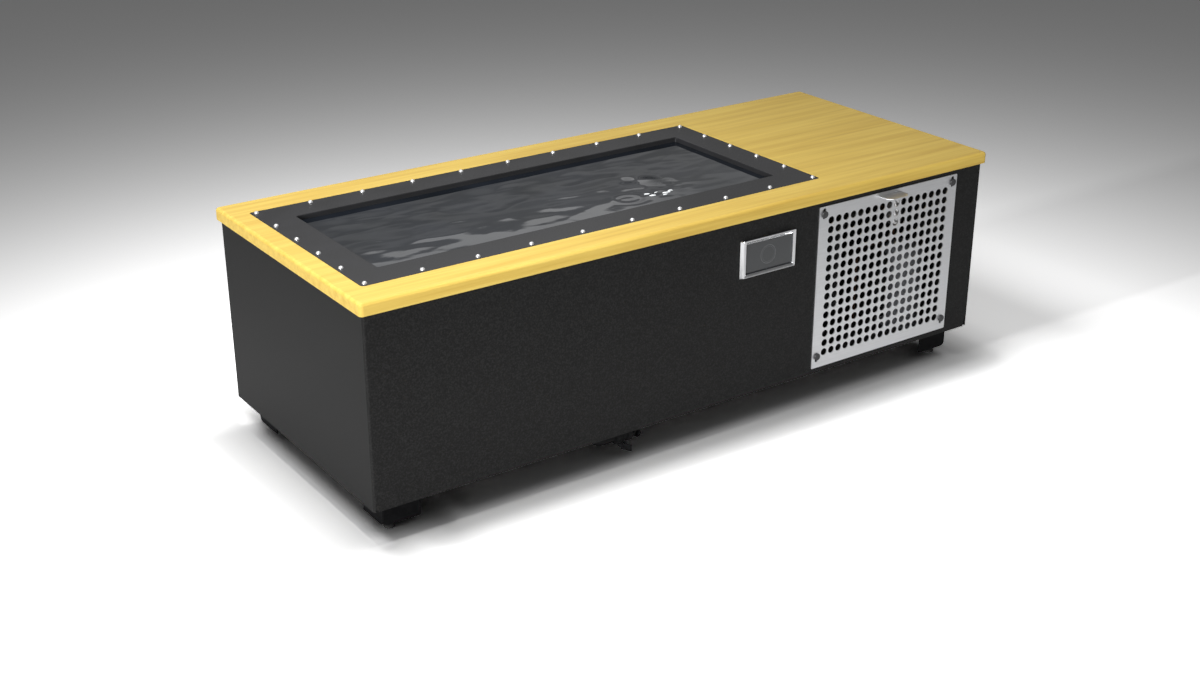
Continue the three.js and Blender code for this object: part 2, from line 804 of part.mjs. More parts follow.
// Bevelled chrome frame, a dark glass in it and a plastic housing behind the sheet.
function addDisplay(group) {
  const unit = new THREE.Group();
  unit.position.set(display.x, front, display.z);
  group.add(unit);
  const frameLevel = (inset, z) => {
    const radius = THREE.MathUtils.lerp(bezelCorner, bezelInnerCorner, inset / bezelBar);
    return level(bezelLength - 2 * inset, bezelHeight - 2 * inset, radius, z, 2);
  };
  const frame = loft([
    frameLevel(0, fit),
    frameLevel(0, bezelProud - bezelEdge),
    frameLevel(bezelEdge, bezelProud),
    frameLevel(bezelEdge + bezelFlat, bezelProud),
    frameLevel(bezelBar, glassThickness + 2 * fit),
    frameLevel(bezelBar, fit),
  ], true);
  place(unit, "display_bezel", alongFront(frame), chrome);
  const halfX = glassLength / 2;
  const halfZ = glassHeight / 2;
  const glass = block([-halfX, halfX], [-fit - glassThickness, -fit], [-halfZ, halfZ]);
  place(unit, "display_glass", glass, screenGlass);
  const bodyX = halfX - housingLap;
  const bodyZ = halfZ - housingLap;
  const body = block([-bodyX, bodyX], [0, housingDepth], [-bodyZ, bodyZ]);
  const collar = block([-halfX, halfX], [sheet + fit, housingCollar], [-halfZ, halfZ]);
  place(unit, "display_housing", join(body, collar), blackPlastic);
}
addDisplay(tub);

// Chiller: places of the pieces that the lines run between.
const compressorX = bayRight - compressorFromRight;
const compressorY = bayFront + compressorFromFront;
const chillerFloor = deckTop + fit;
const drierTop = slabBottom - drierDrop;
const belowDrier = drierTop - drierLength - fit;
const expansionZ = belowDrier - 2 * copperBend;
const compressorHeight = expansionZ - compressorHeadroom - chillerFloor;
const accumulatorHeight = compressorHeight - accumulatorLift - accumulatorDrop;
const accumulatorX = compressorX - compressorDiameter / 2 - accumulatorGap - accumulatorDiameter / 2;
const drierX = bayRight - drierFromRight;
const condenserBack = bayBack - condenserFromBack;
const condenserFront = condenserBack - condenserDepth;

function addCompressor(group) {
  const radius = compressorDiameter / 2;
  const can = turned([
    [0, 0], [compressorBase / 2, 0], [compressorBase / 2, sheet],
    [radius - compressorDome, sheet], [radius, sheet + compressorDome],
    [radius, compressorHeight - compressorDome], [radius - compressorDome, compressorHeight],
    [0, compressorHeight],
  ]);
  place(group, "compressor", can, greyPaint, compressorX, compressorY, chillerFloor);
  const bottle = accumulatorDiameter / 2;
  const shoulder = accumulatorShoulder;
  const body = turned([
    [0, accumulatorLift], [bottle - shoulder, accumulatorLift], [bottle, accumulatorLift + shoulder],
    [bottle, accumulatorLift + accumulatorHeight - shoulder],
    [bottle - shoulder, accumulatorLift + accumulatorHeight], [0, accumulatorLift + accumulatorHeight],
  ]);
  const reach = compressorX - radius - accumulatorX - fit;
  const outletHeight = accumulatorLift - copperBend;
  const corners = [[0, 0, accumulatorLift + past], [0, 0, outletHeight], [reach, 0, outletHeight]];
  const outlet = pipe(corners, copperDiameter, copperBend / 2);
  const accumulator = join(body, outlet);
  place(group, "suction_accumulator", accumulator, blackSteel, accumulatorX, compressorY, chillerFloor);
  const drier = drierDiameter / 2;
  const neck = copperDiameter / 2 + fit;
  const shell = turned([
    [0, -drierLength], [neck, -drierLength], [drier, drierTaper - drierLength], [drier, -drierTaper],
    [neck, 0], [0, 0],
  ]);
  place(group, "filter_drier", shell, chrome, drierX, compressorY, drierTop);
}
addCompressor(tub);

// Fin block between end plates, with a shroud, a fan and its motor on arms in front.
function addCondenser(group) {
  const unit = new THREE.Group();
  unit.position.set(condenserX, condenserFront, condenserZ);
  group.add(unit);
  const halfX = condenserLength / 2;
  const halfZ = condenserHeight / 2;
  const fins = block(
    [-halfX, halfX],
    [condenserEndStep / 2, condenserDepth - condenserEndStep / 2],
    [condenserEndStep - halfZ, halfZ - condenserEndStep],
  );
  const ends = [-1, 1].map((sign) => {
    const inner = halfX - condenserEndPlate;
    const span = sign > 0 ? [inner, halfX] : [-halfX, -inner];
    return block(span, [0, condenserDepth], [-halfZ, halfZ]);
  });
  place(unit, "condenser", join(fins, ...ends), greyPaint);
  const shroudBox = block([-halfX, halfX], [-fit - shroudDepth, -fit], [-halfZ, halfZ]);
  const hollow = block(
    [shroudWall - halfX, halfX - shroudWall],
    [shroudWall - shroudDepth, past],
    [shroudWall - halfZ, halfZ - shroudWall],
  );
  const mouth = alongFront(bar(fanDiameter + 2 * fanTipClearance, 0, shroudDepth + past, 24));
  place(unit, "fan_shroud", cut(shroudBox, hollow, mouth), blackPlastic);

  const armFace = -fit - shroudDepth - fit;
  const fanY = armFace + fanGap;
  const hub = turned([
    [fanShaftDiameter / 2 + fit, 0], [fanHubDiameter / 2, 0], [fanHubDiameter / 2, fanHubDepth],
    [fanShaftDiameter / 2 + fit, fanHubDepth], [fanShaftDiameter / 2 + fit, 0],
  ]);
  const bladeRoot = fanHubDiameter / 2 - past;
  const bladeTip = fanDiameter / 2;
  const blades = Array.from({ length: fanBladeCount }, (_, i) => {
    const outline = new THREE.Shape();
    outline.moveTo(bladeRoot, -fanBladeChord / 6);
    outline.quadraticCurveTo(bladeTip * 0.55, -fanBladeChord / 2, bladeTip * 0.86, -fanBladeChord * 0.42);
    outline.quadraticCurveTo(bladeTip * 0.98, 0, bladeTip * 0.86, fanBladeChord * 0.42);
    outline.quadraticCurveTo(bladeTip * 0.55, fanBladeChord / 3, bladeRoot, fanBladeChord / 6);
    const blade = raised(outline, fanBladeThickness).translate(0, 0, -fanBladeThickness / 2);
    blade.rotateX(THREE.MathUtils.degToRad(fanBladePitch)).translate(0, 0, fanHubDepth / 2);
    return blade.rotateZ(2 * Math.PI * i / fanBladeCount);
  });
  const fan = place(unit, "fan_blades", join(hub, ...blades), blackPlastic, 0, fanY, 0);
  fan.rotation.x = -Math.PI / 2;

  const motorRadius = fanMotorDiameter / 2;
  const shaft = fanShaftDiameter / 2;
  const shaftEnd = fanMotorLength + fanGap + fanHubDepth;
  const body = turned([
    [0, 0], [motorRadius - motorChamfer, 0], [motorRadius, motorChamfer], [motorRadius, fanMotorLength],
    [shaft, fanMotorLength], [shaft, shaftEnd], [0, shaftEnd],
  ]);
  const armSpan = Math.hypot(halfX, halfZ) - fanArmWidth;
  const arms = [1, -1].map((sign) => {
    const span = [-armSpan, armSpan];
    const thickness = [fanMotorLength - fanArmThickness, fanMotorLength];
    const arm = block(span, [-fanArmWidth / 2, fanArmWidth / 2], thickness);
    return arm.rotateZ(sign * Math.atan2(halfZ, halfX));
  });
  const motor = place(unit, "fan_motor", join(body, ...arms), blackSteel, 0, armFace - fanMotorLength, 0);
  motor.rotation.x = -Math.PI / 2;
}
addCondenser(tub);

// Water loop: fittings, pump, filter, exchanger and the hoses between their ports.
const portEnd = exchangerDiameter / 2 + portLength;
const filterX = bayLeft + filterFromDivider;
const filterY = bayFront + filterFromFront;
const filterHeadTop = slabBottom - filterHeadDrop;
const filterPortZ = filterHeadTop - filterHeadHeight / 2;
const filterPortEnd = filterHeadDiameter / 2 + portLength;

function addFittings(group) {
  for (const [name, fitting] of [["suction_fitting", suction], ["return_jet", jet]]) {
    const faceBack = basinRight - basinInset(fitting.z - fittingFaceDiameter / 2) - fit;
    const reach = bayLeft + fittingReach - faceBack;
    const face = fittingFaceDiameter / 2;
    const body = fittingBodyDiameter / 2;
    const bore = fittingBore / 2;
    const spigot = hoseDiameter / 2;
    const edge = fittingFaceThickness / 2;
    const step = reach - portLength;
    const shape = alongX(turned([
      [bore, -fittingFaceThickness], [face - edge, -fittingFaceThickness], [face, -edge], [face, 0],
      [body, 0], [body, step], [spigot, step], [spigot, reach], [bore, reach], [bore, -fittingFaceThickness],
    ]));
    place(group, name, shape, greyPlastic, faceBack, fitting.y, fitting.z);
  }
}
addFittings(tub);

function addPump(group) {
  const volute = alongFront(bar(voluteDiameter, 0, voluteDepth));
  const inlet = alongFront(bar(portDiameter, 0, voluteDepth + portLength));
  const outlet = bar(portDiameter, 0, voluteDiameter / 2 + portLength).translate(0, -voluteDepth / 2, 0);
  const motorRadius = pumpMotorDiameter / 2;
  const motorProfile = [
    [0, -past], [motorRadius, -past], [motorRadius, pumpMotorLength - pumpMotorChamfer],
    [motorRadius - pumpMotorChamfer, pumpMotorLength], [0, pumpMotorLength],
  ];
  const motor = alongBack(turned(motorProfile));
  const foot = block([-motorRadius, motorRadius], [0, pumpFootLength], [fit - pumpAxisHeight, 0]);
  const pump = join(volute, inlet, outlet, motor, foot);
  place(group, "circulation_pump", pump, blackPlastic, pumpX, pumpY, pumpZ);
}
addPump(tub);

// Filter: a head on the divider, a bowl that unscrews and the cartridge in it.
function addFilter(group) {
  const unit = new THREE.Group();
  unit.position.set(filterX, filterY, filterHeadTop);
  group.add(unit);
  const headRadius = filterHeadDiameter / 2;
  const dome = turned([
    [0, -filterHeadHeight], [headRadius, -filterHeadHeight], [headRadius, -filterHeadChamfer],
    [headRadius - filterHeadChamfer, 0], [0, 0],
  ]);
  const port = -filterHeadHeight / 2;
  const inlet = alongBack(bar(portDiameter, 0, filterPortEnd)).translate(0, 0, port);
  const outlet = alongX(bar(portDiameter, 0, filterPortEnd)).translate(0, 0, port);
  const halfBracket = filterBracketWidth / 2;
  const bracketSpan = [-filterHeadHeight, port / 2];
  const bracket = block([fit - filterFromDivider, 0], [-halfBracket, halfBracket], bracketSpan);
  place(unit, "filter_head", join(dome, inlet, outlet, bracket), blackPlastic);
  const outer = sumpDiameter / 2;
  const top = -filterHeadHeight - fit;
  const bottom = top - sumpHeight;
  const bowl = turned([
    [0, bottom], [outer - sumpFillet, bottom], [outer, bottom + sumpFillet], [outer, top],
    [outer - sumpWall, top], [outer - sumpWall, bottom + sumpFillet],
    [outer - sumpFillet - sumpWall, bottom + sumpWall], [0, bottom + sumpWall],
  ]);
  place(unit, "filter_sump", bowl, greyPlastic);
  const low = bottom + sumpWall + fit;
  const high = top - fit;
  const core = cartridgeBore / 2;
  const media = cartridgeDiameter / 2;
  const cap = media + cartridgeCapLap;
  const cartridge = turned([
    [core, low], [cap, low], [cap, low + cartridgeEnd], [media, low + cartridgeEnd],
    [media, high - cartridgeEnd], [cap, high - cartridgeEnd], [cap, high], [core, high], [core, low],
  ]);
  place(unit, "filter_cartridge", cartridge, foam);
}
addFilter(tub);

function addExchanger(group) {
  const radius = exchangerDiameter / 2;
  const vessel = turned([
    [0, 0], [radius, 0], [radius, exchangerHeight - exchangerDome],
    [radius - exchangerDome, exchangerHeight], [0, exchangerHeight],
  ]);
  const waterPorts = [exchangerPortLow, exchangerPortHigh].map((z) => {
    return alongFront(bar(portDiameter, 0, portEnd)).translate(0, 0, z - fit);
  });
  const gasPorts = [exchangerPortLow, exchangerPortHigh].map((z) => {
    return alongX(bar(gasPortDiameter, 0, portEnd, 12)).translate(0, 0, z - fit);
  });
  const shape = join(vessel, ...waterPorts, ...gasPorts);
  place(group, "heat_exchanger", shape, blackPlastic, exchangerX, exchangerY, chillerFloor);
}
addExchanger(tub);

function addHoses(group) {
  const hose = (name, corners) => place(group, name, pipe(corners, hoseDiameter, hoseBend), rubber);
  const fittingEnd = bayLeft + fittingReach + fit;
  const pumpInlet = pumpY - voluteDepth - portLength - fit;
  hose("suction_hose", [[fittingEnd, suctionY, pumpZ], [pumpX, suctionY, pumpZ], [pumpX, pumpInlet, pumpZ]]);
  const pumpOutletY = pumpY - voluteDepth / 2;
  const pumpOutletZ = pumpZ + voluteDiameter / 2 + portLength + fit;
  const filterInletY = filterY + filterPortEnd + fit;
  hose("pump_hose", [
    [pumpX, pumpOutletY, pumpOutletZ], [pumpX, pumpOutletY, filterPortZ],
    [filterX, filterInletY + 1.5 * hoseBend, filterPortZ], [filterX, filterInletY, filterPortZ],
  ]);
  const lowZ = deckTop + exchangerPortLow;
  const highZ = deckTop + exchangerPortHigh;
  const portY = exchangerY - portEnd - fit;
  const runX = filterX + filterPortEnd + 2 * hoseBend;
  const turnY = portY - 1.5 * hoseBend;
  hose("filter_hose", [
    [filterX + filterPortEnd + fit, filterY, filterPortZ], [runX, filterY, filterPortZ],
    [runX, turnY, filterPortZ], [runX, turnY, lowZ], [exchangerX, turnY, lowZ], [exchangerX, portY, lowZ],
  ]);
  hose("return_hose", [
    [exchangerX, portY, highZ], [exchangerX, returnY, highZ], [fittingEnd, returnY, highZ],
  ]);
}
addHoses(tub);

// Copper lines: discharge to the condenser, liquid through the drier, then the cold side.
function addLines(group) {
  const line = (name, corners) => place(group, name, pipe(corners, copperDiameter, copperBend, 6), copper);
  const inletFace = condenserX + condenserLength / 2;
  const sideX = inletFace + 1.5 * copperBend;
  const top = chillerFloor + compressorHeight + fit;
  const condenserTop = condenserZ + condenserHeight / 2;
  const highZ = Math.max(condenserTop, top + copperBend) + copperBend;
  const plateY = condenserFront + condenserDepth / 2;
  const upperZ = condenserZ + condenserHeight / 4;
  line("discharge_line", [
    [compressorX, compressorY, top], [compressorX, compressorY, highZ], [compressorX, plateY, highZ],
    [sideX, plateY, highZ], [sideX, plateY, upperZ], [inletFace + fit, plateY, upperZ],
  ]);
  const outletFace = condenserX - condenserLength / 2 - fit;
  const dropX = outletFace - 2 * copperBend;
  const overZ = drierTop + fit + 1.5 * copperBend;
  line("liquid_line", [
    [outletFace, plateY, upperZ], [dropX, plateY, upperZ], [dropX, plateY, overZ],
    [dropX, compressorY, overZ], [drierX, compressorY, overZ], [drierX, compressorY, drierTop + fit],
  ]);
  const gasX = exchangerX + portEnd + fit;
  const lowZ = deckTop + exchangerPortLow;
  const coldZ = deckTop + exchangerPortHigh;
  const aisleX = gasX + 1.4 * copperBend;
  line("expansion_line", [
    [drierX, compressorY, belowDrier], [drierX, compressorY, expansionZ], [aisleX, compressorY, expansionZ],
    [aisleX, exchangerY, expansionZ], [aisleX, exchangerY, coldZ], [gasX, exchangerY, coldZ],
  ]);
  const bottleTop = chillerFloor + accumulatorLift + accumulatorHeight + fit;
  const returnZ = bottleTop + 1.5 * copperBend;
  const creepZ = deckTop + copperBend;
  line("suction_line", [
    [gasX, exchangerY, lowZ], [aisleX, exchangerY, lowZ], [aisleX, exchangerY, creepZ],
    [aisleX, compressorY, creepZ], [aisleX, compressorY, returnZ],
    [accumulatorX, compressorY, returnZ], [accumulatorX, compressorY, bottleTop],
  ]);
}
addLines(tub);

// Electrics: a control box on the right wall and a power inlet in the rear sheet.
function addElectrics(group) {
  const y0 = bayFront + controlBoxFromFront;
  const spanX = [bayRight - fit - controlBoxDepth, bayRight - fit];
  const top = slabBottom - controlBoxDrop;
  const box = block(spanX, [y0, y0 + controlBoxWidth], [top - controlBoxHeight, top]);
  place(group, "control_box", box, greyPlastic);
  const flange = inletFlange / 2;
  const body = inletBody / 2;
  const plate = block([-flange, flange], [fit, sheet], [-flange, flange]);
  const socket = block([-body, body], [-inletDepth, sheet / 2], [-body, body]);
  place(group, "power_inlet", join(plate, socket), blackPlastic, inletX, rearFace, inletZ);
}
addElectrics(tub);

// Drain: bulkhead through the floor, a pipe forward, a valve with a hanging lever and a spout to the front.
function addDrain(group) {
  const flange = drainFlangeDiameter / 2;
  const body = drainBodyDiameter / 2;
  const low = deckBottom - past;
  const bore = drainPipeDiameter / 2 - drainPipeWall;
  const top = basinFloor + fit + drainFlangeThickness;
  const edge = drainFlangeThickness / 2;
  const bulkhead = turned([
    [bore, low], [body, low], [body, basinFloor + fit], [flange, basinFloor + fit],
    [flange, top - edge], [flange - edge, top], [bore, top], [bore, low],
  ]);
  place(group, "drain_bulkhead", bulkhead, greyPlastic, drainX, drainY, 0);
  const valveY = front + drainFromFront;
  const valveX = drainX + valveStart;
  const run = [
    [drainX, drainY, low - fit], [drainX, drainY, drainHeight], [drainX, valveY, drainHeight],
    [valveX - fit, valveY, drainHeight],
  ];
  place(group, "drain_pipe", pipe(run, drainPipeDiameter, drainBend / 2), blackPlastic);
  const nut = valveNutDiameter / 2;
  const middle = valveDiameter / 2;
  const far = valveLength - valveNutLength;
  const barrel = alongX(turned([
    [0, 0], [nut, 0], [nut, valveNutLength], [middle, valveNutLength + valveNutBevel],
    [middle, far - valveNutBevel], [nut, far], [nut, valveLength], [0, valveLength],
  ]));
  const boss = bar(valveBossDiameter, -valveBossDrop, 0).translate(valveLength / 2, 0, 0);
  place(group, "drain_valve", join(barrel, boss), blackPlastic, valveX, valveY, drainHeight);
  const hubTop = -valveBossDrop - fit;
  const hub = bar(leverHubDiameter, hubTop - leverHubHeight, hubTop);
  const halfBlade = leverThickness / 2;
  const blade = block([0, leverLength], [-halfBlade, halfBlade], [hubTop - leverHeight, hubTop]);
  const leverX = valveX + valveLength / 2;
  const lever = place(group, "drain_lever", join(hub, blade), blackPlastic, leverX, valveY, drainHeight);
  lever.rotation.z = THREE.MathUtils.degToRad(leverAngle);
  const spoutX = valveX + valveLength + fit;
  const mouthX = spoutX + spoutElbow;
  const mouthY = valveY - spoutReach;
  const spout = pipe([
    [spoutX, valveY, drainHeight], [mouthX, valveY, drainHeight], [mouthX, mouthY, drainHeight],
  ], spoutDiameter, spoutElbow / 2, 12);
  const spoutHole = alongFront(bar(spoutBore, 0, spoutReach));
  spoutHole.translate(mouthX, mouthY + spoutBore / 2, drainHeight);
  place(group, "drain_outlet", cut(spout, spoutHole), greyPlastic);
}
addDrain(tub);

export default root;
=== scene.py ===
import bmesh
import bpy
import json
import math
from mathutils import Matrix, Vector, noise

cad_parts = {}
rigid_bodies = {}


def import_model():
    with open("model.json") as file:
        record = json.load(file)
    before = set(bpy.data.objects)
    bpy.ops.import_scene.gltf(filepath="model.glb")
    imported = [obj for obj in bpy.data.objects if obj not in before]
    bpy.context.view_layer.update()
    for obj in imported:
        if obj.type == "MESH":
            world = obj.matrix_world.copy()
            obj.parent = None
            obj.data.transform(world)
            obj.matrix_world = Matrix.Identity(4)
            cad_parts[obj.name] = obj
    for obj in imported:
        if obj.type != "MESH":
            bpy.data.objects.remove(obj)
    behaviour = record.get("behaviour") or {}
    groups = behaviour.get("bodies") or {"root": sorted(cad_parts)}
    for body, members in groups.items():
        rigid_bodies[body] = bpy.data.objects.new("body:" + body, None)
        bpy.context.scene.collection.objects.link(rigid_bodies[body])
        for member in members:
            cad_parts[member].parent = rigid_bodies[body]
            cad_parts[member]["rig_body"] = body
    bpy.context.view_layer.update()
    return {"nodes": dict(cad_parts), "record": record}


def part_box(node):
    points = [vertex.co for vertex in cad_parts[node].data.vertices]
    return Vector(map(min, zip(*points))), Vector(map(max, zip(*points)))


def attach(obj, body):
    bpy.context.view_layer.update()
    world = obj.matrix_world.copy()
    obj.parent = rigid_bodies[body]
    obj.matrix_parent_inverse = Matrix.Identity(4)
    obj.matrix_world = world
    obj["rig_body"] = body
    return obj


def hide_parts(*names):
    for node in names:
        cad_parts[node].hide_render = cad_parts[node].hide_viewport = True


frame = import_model()
nodes = frame["nodes"]
slotOf = {row["node"]: row["material_slot"] for row in frame["record"]["subparts"]}
scene = bpy.context.scene
scene.view_settings.view_transform = "Standard"
mm = 0.001
print("frame loaded:", len(nodes), "nodes")


def addNode(tree, kind, inputs=None, **settings):  # one node, its settings and what feeds it
    made = tree.nodes.new(kind)
    for key, value in settings.items():
        setattr(made, key, value)
    for key, value in (inputs or {}).items():
        for feed in value if isinstance(value, list) else [value]:
            if isinstance(feed, bpy.types.NodeSocket):
                tree.links.new(feed, made.inputs[key])
            else:
                made.inputs[key].default_value = feed
    return made


def math2(tree, operation, a, b=0.0):
    return addNode(tree, "ShaderNodeMath", {0: a, 1: b}, operation=operation).outputs[0]


def vector2(tree, operation, a, b=(0, 0, 0), output="Vector"):
    return addNode(tree, "ShaderNodeVectorMath", {0: a, 1: b}, operation=operation).outputs[output]


def combined(tree, x=0.0, y=0.0, z=0.0):
    return addNode(tree, "ShaderNodeCombineXYZ", {0: x, 1: y, 2: z}).outputs[0]


def axesOf(tree, vector):
    return addNode(tree, "ShaderNodeSeparateXYZ", {0: vector}).outputs


def mixed(tree, factor, a, b):
    made = addNode(tree, "ShaderNodeMix", {"Factor": factor, "A": a, "B": b}, data_type="FLOAT")
    return made.outputs["Result"]


def objectSpot(tree):
    return addNode(tree, "ShaderNodeTexCoord").outputs["Object"]


def middleOf(node):
    lo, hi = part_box(node)
    return (lo + hi) / 2


def pieceFrom(mesh, name, finish=None):
    piece = bpy.data.objects.new(name, mesh)
    scene.collection.objects.link(piece)
    if finish:
        mesh.materials.clear()
        mesh.materials.append(finish)
    return piece


def meshFrom(bm, name):
    bmesh.ops.remove_doubles(bm, verts=bm.verts[:], dist=1e-6)
    bmesh.ops.recalc_face_normals(bm, faces=bm.faces[:])
    mesh = bpy.data.meshes.new(name)
    bm.to_mesh(mesh)
    bm.free()
    return mesh


def settle(piece):  # modifiers become plain mesh
    graph = bpy.context.evaluated_depsgraph_get()
    mesh = bpy.data.meshes.new_from_object(piece.evaluated_get(graph))
    piece.modifiers.clear()
    piece.data = mesh
    return piece


def smoothed(piece, degrees=32):  # smooth rounds, crisp corners, flat faces kept flat
    for face in piece.data.polygons:
        face.use_smooth = True
    piece.data.set_sharp_from_angle(angle=math.radians(degrees))
    normals = piece.modifiers.new("normals", "WEIGHTED_NORMAL")
    normals.keep_sharp = True
    return settle(piece)


def dress(piece, finish, *standsFor):  # finish, body, slot and the solids that the piece stands for
    piece.data.materials.clear()
    piece.data.materials.append(finish)
    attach(piece, nodes[standsFor[0]]["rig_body"])
    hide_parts(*standsFor)
    return piece


def moved(piece, place):  # the place goes into the mesh
    piece.data.transform(Matrix.Translation(place))
    return piece


def roundedRing(centre, size, radius, z, steps=6):  # a level rounded rectangle, counter-clockwise
    points = []
    for corner, (signX, signY) in enumerate(((1, 1), (-1, 1), (-1, -1), (1, -1))):
        x = centre[0] + signX * (size[0] / 2 - radius)
        y = centre[1] + signY * (size[1] / 2 - radius)
        for i in range(steps + 1):
            angle = (corner + i / steps) * math.pi / 2
            points.append(Vector((x + radius * math.cos(angle), y + radius * math.sin(angle), z)))
    return points


def bandFaces(bm, lower, upper):  # quads between two closed rows of vertices
    for i in range(len(lower)):
        j = (i + 1) % len(lower)
        bm.faces.new((lower[i], lower[j], upper[j], upper[i]))


def loft(name, rings, closed=False):
    bm = bmesh.new()
    rows = [[bm.verts.new(point) for point in ring] for ring in rings]
    pairs = list(zip(rows, rows[1:]))
    if closed:
        pairs.append((rows[-1], rows[0]))
    else:
        bm.faces.new(rows[0][::-1])
        bm.faces.new(rows[-1])
    for lower, upper in pairs:
        bandFaces(bm, lower, upper)
    return pieceFrom(meshFrom(bm, name), name)


def arc(centre, radius, start, end, steps):  # (across, up) pairs round part of a circle, in degrees
    turns = [math.radians(start + (end - start) * i / steps) for i in range(steps + 1)]
    return [(centre[0] + radius * math.cos(a), centre[1] + radius * math.sin(a)) for a in turns]


def rod(radius, length):  # the profile of a plain cylinder
    return [(0, 0), (radius, 0), (radius, length), (0, length)]


turnTo = {
    "up": Matrix(),
    "front": Matrix.Rotation(math.pi / 2, 4, "X"),
    "right": Matrix.Rotation(math.pi / 2, 4, "Y"),
}


def lathe(name, profile, place, along="up", steps=40):  # (radius, height) pairs in mm, turned
    bm = bmesh.new()
    rows = []
    for radius, height in profile:
        count = steps if radius > 1e-4 else 1
        turns = [2 * math.pi * i / count for i in range(count)]
        rows.append([bm.verts.new((radius * math.cos(a), radius * math.sin(a), height)) for a in turns])
    for lower, upper in zip(rows, rows[1:]):
        for i in range(steps):
            j = i + 1
            around = [lower[i % len(lower)], lower[j % len(lower)], upper[j % len(upper)], upper[i % len(upper)]]
            corners = list(dict.fromkeys(around))
            if len(corners) > 2:
                bm.faces.new(corners)
    bm.transform(Matrix.Translation(place) @ turnTo[along] @ Matrix.Scale(mm, 4))
    return pieceFrom(meshFrom(bm, name), name)


def sweep(name, corners, radius, bend, sides=24):  # a round bar along straight runs with rounded bends
    knots = [Vector(corner) for corner in corners]
    path = [knots[0]]
    bendSteps = 8
    for before, knot, after in zip(knots, knots[1:], knots[2:]):
        start = knot + (before - knot).normalized() * bend
        end = knot + (after - knot).normalized() * bend
        for i in range(bendSteps + 1):
            t = i / bendSteps
            path.append(start * (1 - t) ** 2 + knot * (2 * t * (1 - t)) + end * t ** 2)
    path.append(knots[-1])
    bm = bmesh.new()
    rows = []
    side = None
    for i, point in enumerate(path):
        along = (path[min(i + 1, len(path) - 1)] - path[max(i - 1, 0)]).normalized()
        side = side or along.orthogonal()
        side = (side - along * side.dot(along)).normalized()
        other = along.cross(side)
        turns = [2 * math.pi * k / sides for k in range(sides)]
        rows.append([bm.verts.new(point + (side * math.cos(a) + other * math.sin(a)) * radius) for a in turns])
    for lower, upper in zip(rows, rows[1:]):
        bandFaces(bm, lower, upper)
    bm.faces.new(rows[0][::-1])
    bm.faces.new(rows[-1])
    return pieceFrom(meshFrom(bm, name), name)


def boxPiece(lo, hi, name="cutter"):
    bm = bmesh.new()
    bmesh.ops.create_cube(bm, size=1)
    size = Vector(hi) - Vector(lo)
    bm.transform(Matrix.Translation((Vector(lo) + Vector(hi)) / 2) @ Matrix.Diagonal((*size, 1)))
    return pieceFrom(meshFrom(bm, name), name)


def joined(pieces):  # several meshes as one, the first one kept
    bm = bmesh.new()
    for piece in pieces:
        bm.from_mesh(piece.data)
    mesh = bpy.data.meshes.new(pieces[0].name)
    bm.to_mesh(mesh)
    bm.free()
    for piece in pieces[1:]:
        bpy.data.objects.remove(piece)
    pieces[0].data = mesh
    return pieces[0]


def carve(piece, cutter, operation="DIFFERENCE"):
    knife = piece.modifiers.new("carve", "BOOLEAN")
    knife.object = cutter
    knife.operation = operation
    knife.solver = "EXACT"
    settle(piece)
    bpy.data.objects.remove(cutter)
    return piece


def eased(piece, width, segments=2, degrees=40):  # a small round on every crisp edge
    edge = piece.modifiers.new("edges", "BEVEL")
    edge.width = width * mm
    edge.segments = segments
    edge.limit_method = "ANGLE"
    edge.angle_limit = math.radians(degrees)
    edge.use_clamp_overlap = True
    return settle(piece)


def softCopy(node, name, width, finish):  # a solid with its edges eased
    bm = bmesh.new()
    bm.from_mesh(nodes[node].data)
    bmesh.ops.remove_doubles(bm, verts=bm.verts[:], dist=1e-5)
    bmesh.ops.dissolve_limit(bm, angle_limit=math.radians(1), verts=bm.verts[:], edges=bm.edges[:])
    piece = pieceFrom(meshFrom(bm, name), name)
    return dress(smoothed(eased(piece, width)), finish, node)


def newGrowth(name, inputs):  # an empty geometry tree with named inputs
    tree = bpy.data.node_groups.new(name, "GeometryNodeTree")
    for label, kind in inputs.items():
        tree.interface.new_socket(name=label, in_out="INPUT", socket_type="NodeSocket" + kind)
    tree.interface.new_socket(name="Geometry", in_out="OUTPUT", socket_type="NodeSocketGeometry")
    return tree, addNode(tree, "NodeGroupInput").outputs


def closeGrowth(tree, geometry, finish):  # every tree ends the same way
    real = addNode(tree, "GeometryNodeRealizeInstances", {"Geometry": geometry})
    painted = addNode(tree, "GeometryNodeSetMaterial", {"Geometry": real.outputs[0], "Material": finish})
    addNode(tree, "NodeGroupOutput", {"Geometry": painted.outputs[0]})
    return tree


def grow(name, tree, values):  # runs a tree with these values and keeps its mesh
    piece = pieceFrom(bpy.data.meshes.new(name), name)
    modifier = piece.modifiers.new("growth", "NODES")
    modifier.node_group = tree
    for item in tree.interface.items_tree:
        if item.in_out == "INPUT":
            modifier[item.identifier] = values[item.name]
    return settle(piece)


def instances(tree, points, shape, **more):  # one shape on every point
    inputs = {"Points": points, "Instance": shape, **more}
    return addNode(tree, "GeometryNodeInstanceOnPoints", inputs).outputs[0]


def transformed(tree, geometry, **change):
    return addNode(tree, "GeometryNodeTransform", {"Geometry": geometry, **change}).outputs[0]


def spanOf(tree, pitch, count):  # length from the first to the last of a row
    return math2(tree, "MULTIPLY", pitch, math2(tree, "SUBTRACT", count, 1))


